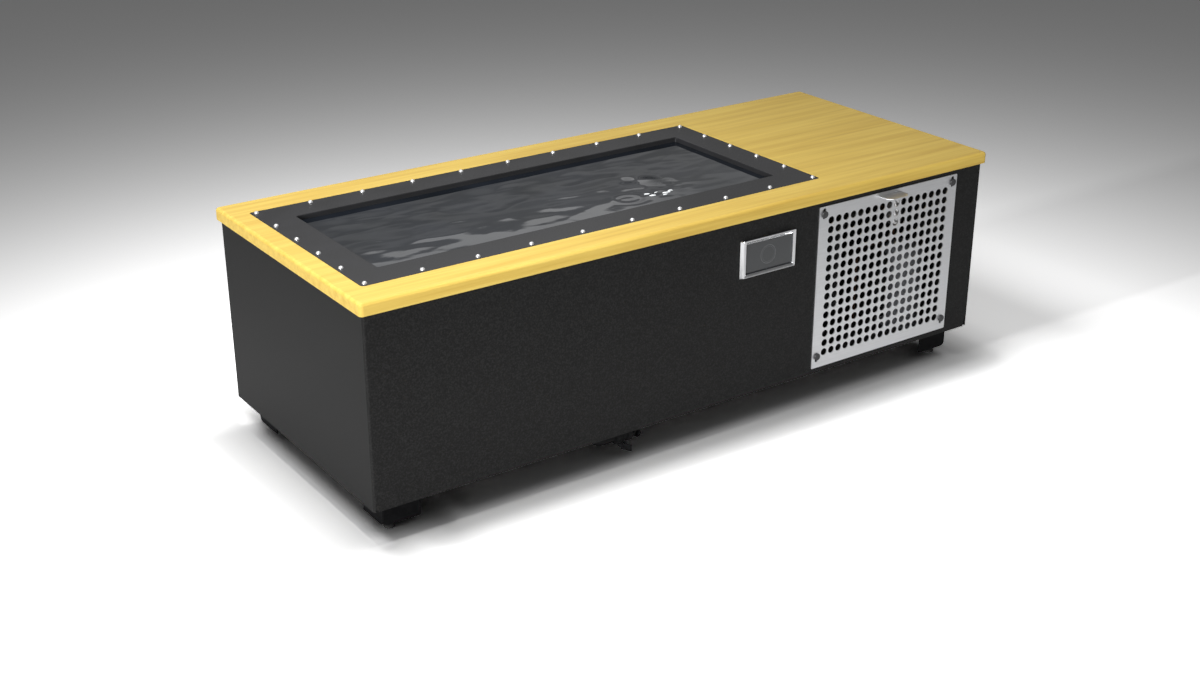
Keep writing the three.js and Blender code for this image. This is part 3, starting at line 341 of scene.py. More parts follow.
def punchedSheet(name, patterns):  # a sheet with rows of round holes or slots; sizes are inputs
    inputs = {"Width": "Float", "Height": "Float", "Corner": "Float", "Thickness": "Float", "Finish": "Material"}
    for label in patterns:
        for size in ("Width", "Height", "Pitch X", "Pitch Y", "Left", "Up"):
            inputs[f"{label} {size}"] = "Float"
        inputs[f"{label} Columns"] = "Int"
        inputs[f"{label} Rows"] = "Int"
    tree, given = newGrowth(name, inputs)
    halfWidth = 0.4999  # just short of half, so that a full round keeps its corners apart
    sheetSides = 6

    def outline(width, height, radius, count):
        box = addNode(tree, "GeometryNodeCurvePrimitiveQuadrilateral", {"Width": width, "Height": height})
        inputs = {"Curve": box.outputs[0], "Radius": radius, "Count": count}
        return addNode(tree, "GeometryNodeFilletCurve", inputs, mode="POLY").outputs[0]

    curves = [outline(given["Width"], given["Height"], given["Corner"], sheetSides)]
    for label, sides in patterns.items():
        width = given[f"{label} Width"]
        height = given[f"{label} Height"]
        columns = given[f"{label} Columns"]
        rows = given[f"{label} Rows"]
        radius = math2(tree, "MULTIPLY", math2(tree, "MINIMUM", width, height), halfWidth)
        hole = outline(width, height, radius, sides)
        grid = addNode(tree, "GeometryNodeMeshGrid", {
            "Size X": spanOf(tree, given[f"{label} Pitch X"], columns),
            "Size Y": spanOf(tree, given[f"{label} Pitch Y"], rows),
            "Vertices X": columns, "Vertices Y": rows})
        shift = combined(tree, given[f"{label} Left"], given[f"{label} Up"])
        holes = instances(tree, transformed(tree, grid.outputs[0], Translation=shift), hole)
        curves.append(addNode(tree, "GeometryNodeRealizeInstances", {"Geometry": holes}).outputs[0])
    every = addNode(tree, "GeometryNodeJoinGeometry", {"Geometry": curves})
    face = addNode(tree, "GeometryNodeFillCurve", {"Curve": every.outputs[0]}, mode="TRIANGLES").outputs[0]
    wall = addNode(tree, "GeometryNodeExtrudeMesh", {
        "Mesh": face, "Offset": combined(tree, z=given["Thickness"]), "Offset Scale": 1.0, "Individual": False})
    rear = addNode(tree, "GeometryNodeFlipFaces", {"Mesh": face})
    both = addNode(tree, "GeometryNodeJoinGeometry", {"Geometry": [wall.outputs[0], rear.outputs[0]]})
    closed = addNode(tree, "GeometryNodeMergeByDistance", {"Geometry": both.outputs[0], "Distance": 1e-6})
    upright = transformed(tree, closed.outputs[0], Rotation=(math.pi / 2, 0, 0))
    return closeGrowth(tree, upright, given["Finish"])


def pattern(label, size, counts=(1, 1), pitch=(0, 0), at=(0, 0)):  # one hole pattern's values, in mm
    return {
        f"{label} Width": size[0] * mm, f"{label} Height": size[1] * mm,
        f"{label} Columns": counts[0], f"{label} Rows": counts[1],
        f"{label} Pitch X": pitch[0] * mm, f"{label} Pitch Y": pitch[1] * mm,
        f"{label} Left": at[0], f"{label} Up": at[1],
    }


def colour(red, green, blue):  # 0-255 screen values as linear light
    return (*[(c / 255 / 12.92) if c <= 10 else ((c / 255 + 0.055) / 1.055) ** 2.4 for c in (red, green, blue)], 1)


def newFinish(name, **settings):
    finish = bpy.data.materials.new(name)
    finish.use_nodes = True
    shader = finish.node_tree.nodes["Principled BSDF"]
    for key, value in settings.items():
        shader.inputs[key.replace("_", " ")].default_value = value
    return finish, finish.node_tree, shader


def grain(tree, size, stretch=(1, 1, 1), detail=3.0, rough=0.5):  # noise of about this size in mm
    scale = tuple(1000 / size / s for s in stretch)
    mapped = addNode(tree, "ShaderNodeMapping", {"Vector": objectSpot(tree), "Scale": scale})
    return addNode(tree, "ShaderNodeTexNoise", {
        "Vector": mapped.outputs[0], "Scale": 1.0, "Detail": detail, "Roughness": rough}).outputs["Fac"]


def spread(tree, factor, low, high, inLow=0.3, inHigh=0.7):  # one range of numbers to another
    return addNode(tree, "ShaderNodeMapRange", {
        "Value": factor, "From Min": inLow, "From Max": inHigh, "To Min": low, "To Max": high}).outputs[0]


def tones(tree, factor, stops):
    ramp = addNode(tree, "ShaderNodeValToRGB", {"Fac": factor})
    band = ramp.color_ramp
    while len(band.elements) < len(stops):
        band.elements.new(0.5)
    for element, (position, value) in zip(band.elements, stops):
        element.position = position
        element.color = value
    return ramp.outputs["Color"]


def bump(tree, shader, height, strength, distance):
    made = addNode(tree, "ShaderNodeBump", {"Height": height, "Strength": strength, "Distance": distance * mm})
    tree.links.new(made.outputs[0], shader.inputs["Normal"])


def paint(tree, shader, base, rough=None):
    tree.links.new(base, shader.inputs["Base Color"])
    if rough is not None:
        tree.links.new(rough, shader.inputs["Roughness"])


def plainFinish(name, dark, light, rough, size, relief, stretch=(1, 1, 1), **settings):
    finish, tree, shader = newFinish(name, **settings)
    cloud = grain(tree, size, stretch, detail=4)
    fine = grain(tree, size / 6, stretch, detail=2)
    base = tones(tree, cloud, [(0.35, colour(*dark)), (0.68, colour(*light))])
    paint(tree, shader, base, spread(tree, cloud, *rough))
    bump(tree, shader, fine, *relief)
    return finish


def bambooFinish():  # soft wide streaks with fine fibres along the length
    finish, tree, shader = newFinish("bamboo", Specular_IOR_Level=0.12)
    wide = grain(tree, 22, (24, 1, 1), detail=2)
    narrow = grain(tree, 5, (60, 1, 1), detail=3)
    fibre = grain(tree, 1.2, (80, 1, 1), detail=2)
    blend = math2(tree, "ADD", math2(tree, "MULTIPLY", wide, 0.62), math2(tree, "MULTIPLY", narrow, 0.38))
    base = tones(tree, blend, [
        (0.34, colour(207, 172, 82)), (0.46, colour(216, 183, 90)),
        (0.55, colour(222, 190, 96)), (0.68, colour(229, 199, 104))])
    paint(tree, shader, base, spread(tree, narrow, 0.34, 0.44))
    bump(tree, shader, fibre, 0.08, 0.15)
    return finish


def powderFinish():  # fine orange-peel speckle
    finish, tree, shader = newFinish("powderCoat", Specular_IOR_Level=0.16)
    speck = grain(tree, 4.5, detail=2, rough=0.6)
    base = tones(tree, speck, [(0.32, colour(19, 19, 19)), (0.5, colour(27, 27, 27)), (0.68, colour(39, 39, 39))])
    paint(tree, shader, base, spread(tree, speck, 0.5, 0.62))
    bump(tree, shader, speck, 0.3, 0.5)
    return finish


def glassFinish(place):  # dark touch glass with a faint dial ring
    dial = {28.0: 0.45, 23.0: 0.2}  # radius and half width of each line
    finish, tree, shader = newFinish("screenGlass", IOR=1.5, Coat_Weight=0.6, Coat_Roughness=0.03)
    axes = axesOf(tree, objectSpot(tree))
    x = math2(tree, "SUBTRACT", axes[0], place.x)
    z = math2(tree, "SUBTRACT", axes[2], place.z)
    away = math2(tree, "SQRT", math2(tree, "ADD", math2(tree, "MULTIPLY", x, x), math2(tree, "MULTIPLY", z, z)))
    lines = []
    for radius, half in dial.items():
        lines.append(math2(tree, "COMPARE", away, radius * mm))
        lines[-1].node.inputs[2].default_value = half * mm
    ring = math2(tree, "MAXIMUM", *lines)
    smear = grain(tree, 30, (1, 1, 2), detail=3)
    glassTones = {"Factor": ring, "A": colour(50, 52, 54), "B": colour(104, 106, 108)}
    base = addNode(tree, "ShaderNodeMix", glassTones, data_type="RGBA")
    paint(tree, shader, base.outputs["Result"], spread(tree, smear, 0.06, 0.12))
    return finish


def waterFinish():
    finish, tree, shader = newFinish("water", IOR=1.33, Roughness=0.01)
    depth = grain(tree, 160, detail=3)
    wave = grain(tree, 18, detail=2)
    paint(tree, shader, tones(tree, depth, [(0.3, colour(20, 24, 29)), (0.7, colour(29, 33, 40))]))
    bump(tree, shader, wave, 0.008, 1)
    return finish


def pleatFinish(place):  # folds round the filter's axis, with painted shade: darker in the fold valleys, lighter on the crests
    folds = 48.0
    finish, tree, shader = newFinish("filterMedia", Roughness=0.9)
    axes = axesOf(tree, objectSpot(tree))
    x = math2(tree, "SUBTRACT", axes[0], place.x)
    y = math2(tree, "SUBTRACT", axes[1], place.y)
    turn = math2(tree, "MULTIPLY", math2(tree, "ARCTAN2", y, x), folds)
    fold = spread(tree, math2(tree, "SINE", turn), 0, 1, -1, 1)
    # painted shade: the tone follows the fold height, dark in the valleys
    paint(tree, shader, tones(tree, fold, [(0.1, colour(168, 166, 158)), (0.9, colour(228, 226, 218))]))
    bump(tree, shader, fold, 0.6, 2)
    return finish


finishes = {  # plain ones: darker and lighter tone, roughness, grain in mm, relief
    "bamboo": bambooFinish(),
    "powder_coat": powderFinish(),
    "basin": plainFinish("basinGloss", (40, 40, 41), (44, 44, 46), (0.17, 0.22), 90, (0.004, 0.1),
                         Specular_IOR_Level=0.08),
    "black_steel": plainFinish("blackSteel", (15, 15, 16), (21, 21, 22), (0.42, 0.54), 18, (0.12, 0.2),
                               Specular_IOR_Level=0.04),
    "deck": plainFinish("deckBoard", (24, 23, 22), (36, 34, 32), (0.55, 0.7), 30, (0.2, 0.3), (6, 1, 1)),
    "foot_rubber": plainFinish("footRubber", (18, 18, 18), (27, 27, 27), (0.6, 0.75), 6, (0.2, 0.1)),
    "satin_aluminium": plainFinish("satinAluminium", (224, 225, 227), (230, 231, 233), (0.38, 0.44), 4, (0.02, 0.03),
                                   (30, 1, 1), Metallic=1.0),
    "dark_screw": plainFinish("darkScrew", (62, 62, 63), (68, 68, 69), (0.42, 0.5), 9, (0.03, 0.05), Metallic=0.3),
    "chrome": plainFinish("chrome", (226, 227, 229), (238, 238, 240), (0.05, 0.11), 20, (0.02, 0.05), Metallic=1.0),
    "screen_glass": glassFinish(middleOf("display_glass")),
    "black_plastic": plainFinish("blackPlastic", (15, 15, 16), (21, 21, 22), (0.4, 0.52), 8, (0.12, 0.1),
                                 Specular_IOR_Level=0.1),
    # painted shade: the grey plastic is coloured near black for the shade it sits in
    "grey_plastic": plainFinish("greyPlasticInPaintedShade", (14, 14, 15), (20, 20, 21), (0.42, 0.52), 8, (0.1, 0.1),
                                Specular_IOR_Level=0.1),
    "filter_media": pleatFinish(middleOf("filter_cartridge")),
    "foam": plainFinish("foamBoard", (196, 190, 172), (218, 212, 196), (0.85, 0.95), 4, (0.4, 0.4)),
    "grey_paint": plainFinish("greyPaint", (92, 94, 97), (108, 110, 113), (0.3, 0.4), 25, (0.08, 0.2)),
    "condenser_fins": plainFinish("finAluminium", (150, 152, 154), (170, 172, 174), (0.35, 0.45), 10, (0.05, 0.1),
                                  Metallic=1.0),
    "hose_rubber": plainFinish("hoseRubber", (20, 20, 21), (29, 29, 30), (0.5, 0.62), 12, (0.15, 0.2)),
    "copper": plainFinish("copper", (50, 34, 25), (64, 45, 34), (0.34, 0.46), 14, (0.04, 0.1), Metallic=1.0),
}
brightScrew = plainFinish("brightScrew", (208, 208, 210), (222, 222, 223), (0.14, 0.2), 3, (0.02, 0.05),
                          Metallic=0.55)
brightDrier = plainFinish("brightDrier", (248, 248, 249), (252, 252, 252), (0.06, 0.1), 20, (0.01, 0.05),
                          Metallic=0.9)
for label, node in nodes.items():
    for slot in node.material_slots:
        slot.material = finishes[slotOf[label]]
print("finishes:", len(finishes))

slab = {"topRound": 10, "bottomRound": 2, "corner": 12, "seat": 1, "seatEdge": 0.8, "bedding": 0.3, "throat": 3,
        "arcSteps": 8}
slabLo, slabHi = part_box("wood_top")
linerLo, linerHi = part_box("tub_liner")
slabMid = (slabLo + slabHi) / 2
linerMid = (linerLo + linerHi) / 2
flangeSize = (linerHi.x - linerLo.x, linerHi.y - linerLo.y)
basin = {"opening": (1337, 484), "corner": 6, "wall": 5, "rimRound": 2.5, "draft": 13, "floorCorner": 45,
         "floorRound": 25, "floor": 170.9, "flangeCorner": 10, "flangeThickness": 5, "edge": 0.8, "proud": 1.6,
         "hole": 27, "jetHole": (120, 60), "drainHole": (10, 30)}
opening = [side * mm for side in basin["opening"]]


def linerRing(size, grow, radius, z, steps):  # a ring round the basin's middle, grown by some mm
    grown = (size[0] + 2 * grow * mm, size[1] + 2 * grow * mm)
    return roundedRing(linerMid, grown, radius * mm, z, steps)


def makeSlab():
    length = slabHi.x - slabLo.x
    width = slabHi.y - slabLo.y
    rings = []

    def outer(inset, z):
        size = (length - 2 * inset * mm, width - 2 * inset * mm)
        rings.append(roundedRing(slabMid, size, (slab["corner"] - inset) * mm, z, slab["arcSteps"]))

    def inner(size, grow, radius, z):
        rings.append(linerRing(size, grow, radius, z, slab["arcSteps"]))

    for across, up in arc((slab["bottomRound"], slab["bottomRound"]), slab["bottomRound"], 270, 180, 3):
        outer(across, slabLo.z + up * mm)
    for across, up in arc((slab["topRound"], -slab["topRound"]), slab["topRound"], 180, 90, 8):
        outer(across, slabHi.z + up * mm)
    seat = slab["seat"]
    edge = slab["seatEdge"]
    for across, up in arc((seat + edge, -edge), edge, 90, 180, 3):
        inner(flangeSize, across, basin["flangeCorner"] + across, slabHi.z + up * mm)
    seatFloor = linerHi.z - (basin["flangeThickness"] + slab["bedding"]) * mm
    throat = basin["wall"] + slab["throat"]
    inner(flangeSize, seat, basin["flangeCorner"] + seat, seatFloor)
    inner(opening, throat, basin["corner"] + throat, seatFloor)
    inner(opening, throat, basin["corner"] + throat, slabLo.z)
    return smoothed(loft("bambooTop", rings, closed=True), 40)


dress(makeSlab(), finishes["bamboo"], "wood_top")
print("slab done")


def makeBasin():
    rings = []
    rimTop = linerHi.z + basin["proud"] * mm
    flangeLow = linerHi.z - basin["flangeThickness"] * mm
    wall = basin["wall"]
    fillet = basin["floorRound"]
    edge = basin["edge"]
    lip = basin["rimRound"]

    def ring(size, grow, radius, z):
        rings.append(linerRing(size, grow, radius, z, 10))

    for across, up in arc((fillet, fillet), fillet, 270, 180, 6):
        ring(opening, wall - basin["draft"] - across, basin["floorCorner"] + wall - across, linerLo.z + up * mm)
    ring(opening, wall, basin["corner"] + wall, flangeLow)
    for across, up in arc((edge, edge), edge, 270, 180, 3):
        ring(flangeSize, -across, basin["flangeCorner"] - across, flangeLow + up * mm)
    for across, up in arc((edge, -edge), edge, 180, 90, 3):
        ring(flangeSize, -across, basin["flangeCorner"] - across, rimTop + up * mm)
    for across, up in arc((lip, -lip), lip, 90, 180, 4):
        ring(opening, across, basin["corner"] + across, rimTop + up * mm)
    for across, up in arc((fillet, fillet), fillet, 180, 270, 6):
        ring(opening, -basin["draft"] - across, basin["floorCorner"] - across, (basin["floor"] + up) * mm)
    shell = loft("basinShell", rings)
    holes = []
    inset, length = basin["jetHole"]
    for fitting in ("suction_fitting", "return_jet"):
        middle = middleOf(fitting)
        spot = Vector((linerHi.x - inset * mm, middle.y, middle.z))
        holes.append(lathe("hole", rod(basin["hole"], length), spot, "right", 32))
    below, length = basin["drainHole"]
    middle = middleOf("drain_bulkhead")
    spot = Vector((middle.x, middle.y, linerLo.z - below * mm))
    holes.append(lathe("hole", rod(basin["hole"], length), spot, "up", 32))
    return smoothed(carve(shell, joined(holes)), 35)


dress(makeBasin(), finishes["basin"], "tub_liner")
print("basin done")

flangeScrews = {"inset": 15.5, "alongLength": 10, "alongWidth": 6, "headDiameter": 14.2, "headHeight": 6.6}


def screwTree():
    tree, given = newGrowth("flangeScrewRing", {
        "Length": "Float", "Width": "Float", "Along Length": "Int", "Along Width": "Int",
        "Head Diameter": "Float", "Head Height": "Float", "Finish": "Material"})
    grid = addNode(tree, "GeometryNodeMeshGrid", {
        "Size X": given["Length"], "Size Y": given["Width"],
        "Vertices X": given["Along Length"], "Vertices Y": given["Along Width"]})
    axes = axesOf(tree, addNode(tree, "GeometryNodeInputPosition").outputs[0])
    nearHalf = 0.499  # only the outermost points of the grid lie past this share of its size
    edges = []
    for axis, size in ((0, given["Length"]), (1, given["Width"])):
        away = math2(tree, "ABSOLUTE", axes[axis])
        edges.append(math2(tree, "GREATER_THAN", away, math2(tree, "MULTIPLY", size, nearHalf)))
    onEdge = math2(tree, "MAXIMUM", *edges)
    radius = math2(tree, "MULTIPLY", given["Head Diameter"], 0.5)
    ball = addNode(tree, "GeometryNodeMeshUVSphere", {"Segments": 24, "Rings": 14, "Radius": 1.0})
    head = transformed(tree, ball.outputs[0], Scale=combined(tree, radius, radius, given["Head Height"]))
    smooth = addNode(tree, "GeometryNodeSetShadeSmooth", {"Geometry": head})
    heads = instances(tree, grid.outputs[0], smooth.outputs[0], Selection=onEdge)
    return closeGrowth(tree, heads, given["Finish"])


screwRing = grow("flangeScrews", screwTree(), {
    "Length": flangeSize[0] - 2 * flangeScrews["inset"] * mm,
    "Width": flangeSize[1] - 2 * flangeScrews["inset"] * mm,
    "Along Length": flangeScrews["alongLength"], "Along Width": flangeScrews["alongWidth"],
    "Head Diameter": flangeScrews["headDiameter"] * mm, "Head Height": flangeScrews["headHeight"] * mm,
    "Finish": brightScrew})
moved(screwRing, (linerMid.x, linerMid.y, linerHi.z + basin["proud"] * mm))
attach(screwRing, "tub")
print("flange screws done")

water = {  # waves: height in mm, waves per metre in x and y, layer of the noise
    "level": 679, "bottom": 182, "cell": 4.5, "gap": 0.4, "narrowing": 1.3, "draft": 44,
    "swell": (0.06, 3.2, 4.2, 4.0), "ripple": (0.17, 9, 19, 9.0), "fine": (0.008, 42, 64, 2.0),
    "ridge": (0.2, 7, 13, 7.0), "stir": (0.14, 30, 38, 6.0), "stirAt": (0.06, -0.06), "stirReach": 0.11,
    "calm": (-0.15, 0.06, 0.85), "loop": (-0.068, -0.118, 42, 10, 0.22), "loopSquash": 1.25,
    "boils": [(0.088, -0.013, 26, 1.5), (0.125, -0.05, 18, -0.5), (0.03, 0.02, 24, -0.5)]}


def waterHeight(x, y):
    def wave(kind):
        amount, perX, perY, layer = water[kind]
        return amount * noise.noise(Vector((x * perX, y * perY, layer)))

    def hill(atX, atY, reach):
        return math.exp(-((x - atX) ** 2 + (y - atY) ** 2) / reach ** 2)

    nearY, farY, least = water["calm"]  # calmer along the near edge
    along = min(max((y - nearY) / (farY - nearY), 0), 1)
    lively = least + (1 - least) * along * along * (3 - 2 * along)
    height = wave("swell") + lively * (wave("ripple") + wave("fine") - abs(wave("ridge")))  # crests read as veins
    for atX, atY, reach, rise in water["boils"]:  # where the jet comes up
        height += rise * hill(atX, atY, reach * mm)
    atX, atY, radius, width, rise = water["loop"]
    away = math.hypot(x - atX, (y - atY) * water["loopSquash"])
    height += rise * math.exp(-((away - radius * mm) / (width * mm)) ** 2)
    height += wave("stir") * hill(*water["stirAt"], water["stirReach"])
    return height * mm


def makeWater():
    level = water["level"] * mm
    length, width = [(side - water["narrowing"] - 2 * water["gap"]) * mm for side in basin["opening"]]
    corner = basin["corner"] * mm
    columns = round(length / (water["cell"] * mm))
    rows = round(width / (water["cell"] * mm))
    bm = bmesh.new()
    top = []
    for j in range(rows + 1):
        line = []
        for i in range(columns + 1):
            x = (i / columns - 0.5) * length
            y = (j / rows - 0.5) * width
            over = Vector((max(abs(x) - (length / 2 - corner), 0), max(abs(y) - (width / 2 - corner), 0)))
            if over.length > corner:
                over *= corner / over.length
                x = math.copysign(length / 2 - corner + over.x, x)
                y = math.copysign(width / 2 - corner + over.y, y)
            spot = (linerMid.x + x, linerMid.y + y)
            line.append(bm.verts.new((*spot, level + waterHeight(*spot))))
        top.append(line)
    for j in range(rows):
        for i in range(columns):
            bm.faces.new((top[j][i], top[j][i + 1], top[j + 1][i + 1], top[j + 1][i]))
    edge = top[0][:-1] + [line[-1] for line in top[:-1]] + top[-1][:0:-1] + [line[0] for line in top[:0:-1]]
    shrinkX = 1 - 2 * water["draft"] * mm / length
    shrinkY = 1 - 2 * water["draft"] * mm / width
    low = []
    for vert in edge:
        x = linerMid.x + (vert.co.x - linerMid.x) * shrinkX
        y = linerMid.y + (vert.co.y - linerMid.y) * shrinkY
        low.append(bm.verts.new((x, y, water["bottom"] * mm)))
    for i in range(len(edge)):
        j = (i + 1) % len(edge)
        bm.faces.new((edge[j], edge[i], low[i], low[j]))
    bm.faces.new(low[::-1])
    return smoothed(pieceFrom(meshFrom(bm, "water"), "water"), 60)


waterBody = makeWater()
waterBody.data.materials.clear()
waterBody.data.materials.append(waterFinish())
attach(waterBody, "tub")
print("water done:", len(waterBody.data.polygons), "faces")

frothAndGlints = {"at": (0.02, -0.136), "reach": (0.125, 0.045), "count": 8, "size": (2.4, 4.4), "stretch": (2.8, 1.0, 0.75),
         "turn": 0.5, "seed": 7}  # where the jet breaks the surface: white froth drops that also stand in for painted glints


def frothAndGlintTree():
    tree, given = newGrowth("frothAndGlintCluster", {
        "Count": "Int", "Reach": "Vector", "Smallest": "Float", "Largest": "Float", "Stretch": "Vector",
        "Seed": "Int", "Finish": "Material"})

    def half(scale):
        return addNode(tree, "ShaderNodeVectorMath", {0: given["Reach"], "Scale": scale}, operation="SCALE").outputs[0]

    def drawn(kind, inputs):  # a random value for each drop
        return addNode(tree, "FunctionNodeRandomValue", {**inputs, "Seed": given["Seed"]}, data_type=kind).outputs

    spot = drawn("FLOAT_VECTOR", {0: half(-0.5), 1: half(0.5)})[0]
    points = addNode(tree, "GeometryNodePoints", {"Count": given["Count"], "Position": spot})
    ball = addNode(tree, "GeometryNodeMeshIcoSphere", {"Radius": 1.0, "Subdivisions": 3})
    drop = transformed(tree, ball.outputs[0], Scale=given["Stretch"])
    smooth = addNode(tree, "GeometryNodeSetShadeSmooth", {"Geometry": drop})
    size = drawn("FLOAT", {2: given["Smallest"], 3: given["Largest"]})[1]
    turn = drawn("FLOAT_VECTOR", {0: (0, 0, -frothAndGlints["turn"]), 1: (0, 0, frothAndGlints["turn"])})[0]
    drops = instances(tree, points.outputs[0], smooth.outputs[0], Rotation=turn, Scale=size)
    return closeGrowth(tree, drops, given["Finish"])


# painted glints: near-white drops, partly froth and partly glints on the water
frothAndGlintWhite = plainFinish("frothAndGlintWhite", (236, 239, 241), (247, 249, 250), (0.08, 0.16), 4, (0.05, 0.05))
frothAndGlintDrops = grow("frothAndGlints", frothAndGlintTree(), {
    "Count": frothAndGlints["count"], "Reach": (*frothAndGlints["reach"], 0.0), "Smallest": frothAndGlints["size"][0] * mm,
    "Largest": frothAndGlints["size"][1] * mm, "Stretch": frothAndGlints["stretch"], "Seed": frothAndGlints["seed"], "Finish": frothAndGlintWhite})
moved(frothAndGlintDrops, (*frothAndGlints["at"], water["level"] * mm))
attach(frothAndGlintDrops, "tub")
print("froth done:", len(frothAndGlintDrops.data.polygons), "faces")

cabinet = {"sheet": 3, "bend": 8, "lip": 24, "rearReturn": 28, "edge": 0.5, "panelInset": 37, "screenInset": 6,
           "past": 10, "reliefWidth": 9.5, "reliefHeight": 20, "reliefInset": 11, "reliefDepth": 7}


def makeCabinet():
    lo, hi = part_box("cabinet_shell")
    middle = (lo + hi) / 2
    size = (hi.x - lo.x, hi.y - lo.y)
    sheet = cabinet["sheet"] * mm
    bend = cabinet["bend"] * mm
    past = cabinet["past"] * mm
    outer = [roundedRing(middle, size, bend, z, 8) for z in (lo.z, hi.z)]
    inside = (size[0] - 2 * sheet, size[1] - 2 * sheet)
    inner = [roundedRing(middle, inside, bend - sheet, z, 8) for z in (lo.z + sheet, hi.z - sheet)]
    shell = carve(loft("cabinetShell", outer), loft("inner", inner))
    for edge, frontY in (("lip", lo.y + cabinet["lip"] * mm), ("rearReturn", middle.y)):
        reach = cabinet[edge] * mm
        carve(shell, boxPiece((lo.x + reach, frontY, lo.z - past), (hi.x - reach, hi.y + past, hi.z + past)))
    cutters = []
    for cover, gap in (("grille_panel", "panelInset"), ("display_housing", "screenInset")):
        coverLo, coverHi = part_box(cover)
        inset = cabinet[gap] * mm
        cutters.append(boxPiece((coverLo.x + inset, lo.y - past, coverLo.z + inset),
                                (coverHi.x - inset, lo.y + sheet + past, coverHi.z - inset)))
    half = cabinet["reliefWidth"] / 2
    rise = cabinet["reliefHeight"]
    for x in (lo.x + cabinet["reliefInset"] * mm, hi.x - cabinet["reliefInset"] * mm):
        ring = [Vector((x - half * mm, 0, lo.z - past)), Vector((x + half * mm, 0, lo.z - past))]
        crown = arc((0, rise - half), half, 0, 180, 8)
        ring += [Vector((x + across * mm, 0, lo.z + up * mm)) for across, up in crown]
        depths = (lo.y - past, lo.y + cabinet["reliefDepth"] * mm)
        cutters.append(loft("relief", [[point + Vector((0, y, 0)) for point in ring] for y in depths]))
    carve(shell, joined(cutters))
    return smoothed(eased(shell, cabinet["edge"]), 40)


cabinetShell = dress(makeCabinet(), finishes["powder_coat"], "cabinet_shell")
print("cabinet done:", len(cabinetShell.data.polygons), "faces")

rearSheet = {"ventLength": 300, "ventHeight": 12, "ventPitch": 30, "ventCount": 9, "inletHole": 40.6, "corner": 1}


def sheetValues(lo, hi, corner, finish):
    return {"Width": hi.x - lo.x, "Height": hi.z - lo.z, "Corner": corner * mm, "Thickness": hi.y - lo.y,
            "Finish": finishes[finish]}


def makeRearSheet():
    lo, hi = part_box("back_panel")
    middle = (lo + hi) / 2
    coil = middleOf("condenser") - middle
    plug = middleOf("power_inlet") - middle
    tree = punchedSheet("ventedSheet", {"Vent": 6, "Inlet": 2})
    piece = grow("rearSheet", tree, {
        **sheetValues(lo, hi, rearSheet["corner"], "powder_coat"),
        **pattern("Vent", (rearSheet["ventLength"], rearSheet["ventHeight"]), (1, rearSheet["ventCount"]),
                  (0, rearSheet["ventPitch"]), (coil.x, coil.z)),
        **pattern("Inlet", (rearSheet["inletHole"], rearSheet["inletHole"]), at=(plug.x, plug.z))})
    return moved(piece, (middle.x, hi.y, middle.z))


dress(makeRearSheet(), finishes["powder_coat"], "back_panel")
print("rear sheet done")

panel = {"holeDiameter": 23, "columns": 17, "rows": 15, "pitch": (29.6, 30.5), "corner": 3, "slotWidth": 12,
         "upperSlot": 34, "upperShift": 2, "lowerSlot": 25, "lowerShift": -6.5, "slit": (90.6, 3.6), "tabEdge": 0.7}


def makePanel():
    lo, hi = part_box("grille_panel")
    middle = (lo + hi) / 2
    tab = middleOf("pull_tab") - middle
    tree = punchedSheet("perforatedPanel", {"Hole": 5, "Upper Slot": 6, "Lower Slot": 6, "Slit": 1})
    values = {
        **sheetValues(lo, hi, panel["corner"], "satin_aluminium"),
        **pattern("Hole", (panel["holeDiameter"],) * 2, (panel["columns"], panel["rows"]), panel["pitch"]),
        **pattern("Slit", panel["slit"], at=(tab.x, tab.z)),
    }
    for height in ("upper", "lower"):  # slots for the four thumb screws
        left = middleOf(f"thumb_screw_{height}_left") - middle
        right = middleOf(f"thumb_screw_{height}_right") - middle
        slotSize = (panel["slotWidth"], panel[height + "Slot"])
        spot = ((left.x + right.x) / 2, left.z + panel[height + "Shift"] * mm)
        values.update(pattern(height.title() + " Slot", slotSize, (2, 1), ((right.x - left.x) / mm, 0), spot))
    return moved(grow("perforatedPanel", tree, values), (middle.x, hi.y, middle.z))


perforatedPanel = dress(smoothed(makePanel(), 40), finishes["satin_aluminium"], "grille_panel")
softCopy("pull_tab", "pullTab", panel["tabEdge"], finishes["satin_aluminium"])
print("panel done:", len(perforatedPanel.data.polygons), "faces")

thumbScrew = {"head": 11, "headHeight": 6, "edge": 1.4, "chamfer": 0.4, "crown": 0.5, "crownAt": 0.5,
              "crownFall": 0.2, "neck": 5}


def makeThumbScrew(label):
    lo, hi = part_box(f"thumb_screw_{label}")
    depth = (hi.y - lo.y) / mm
    head = thumbScrew["head"]
    edge = thumbScrew["edge"]
    chamfer = thumbScrew["chamfer"]
    crown = thumbScrew["crown"]
    under = depth - thumbScrew["headHeight"]
    profile = [(0, 0), (thumbScrew["neck"], 0), (thumbScrew["neck"], under)]
    profile += [(head - chamfer, under), (head, under + chamfer)]
    profile += arc((head - edge, depth - edge - crown), edge, 0, 80, 5)
    profile += [(head * thumbScrew["crownAt"], depth - crown * thumbScrew["crownFall"]), (0, depth)]
    spot = ((lo.x + hi.x) / 2, hi.y, (lo.z + hi.z) / 2)
    piece = smoothed(lathe(f"thumbScrew_{label}", profile, spot, "front", 48))
    return dress(piece, finishes["dark_screw"], f"thumb_screw_{label}")


for label in ("upper_left", "upper_right", "lower_left", "lower_right"):
    makeThumbScrew(label)

bezel = {"bar": 15, "corner": 5, "innerCorner": 0.8, "overlap": 0.3,
         "face": [(4, 0.5, 2.4), (4.9, 1.0, 0.8), (5.8, 1.8, 0.15), (6.6, 5.2, 0), (14.3, 6.9, 1.6), (14.7, 7.7, 2.2)]}


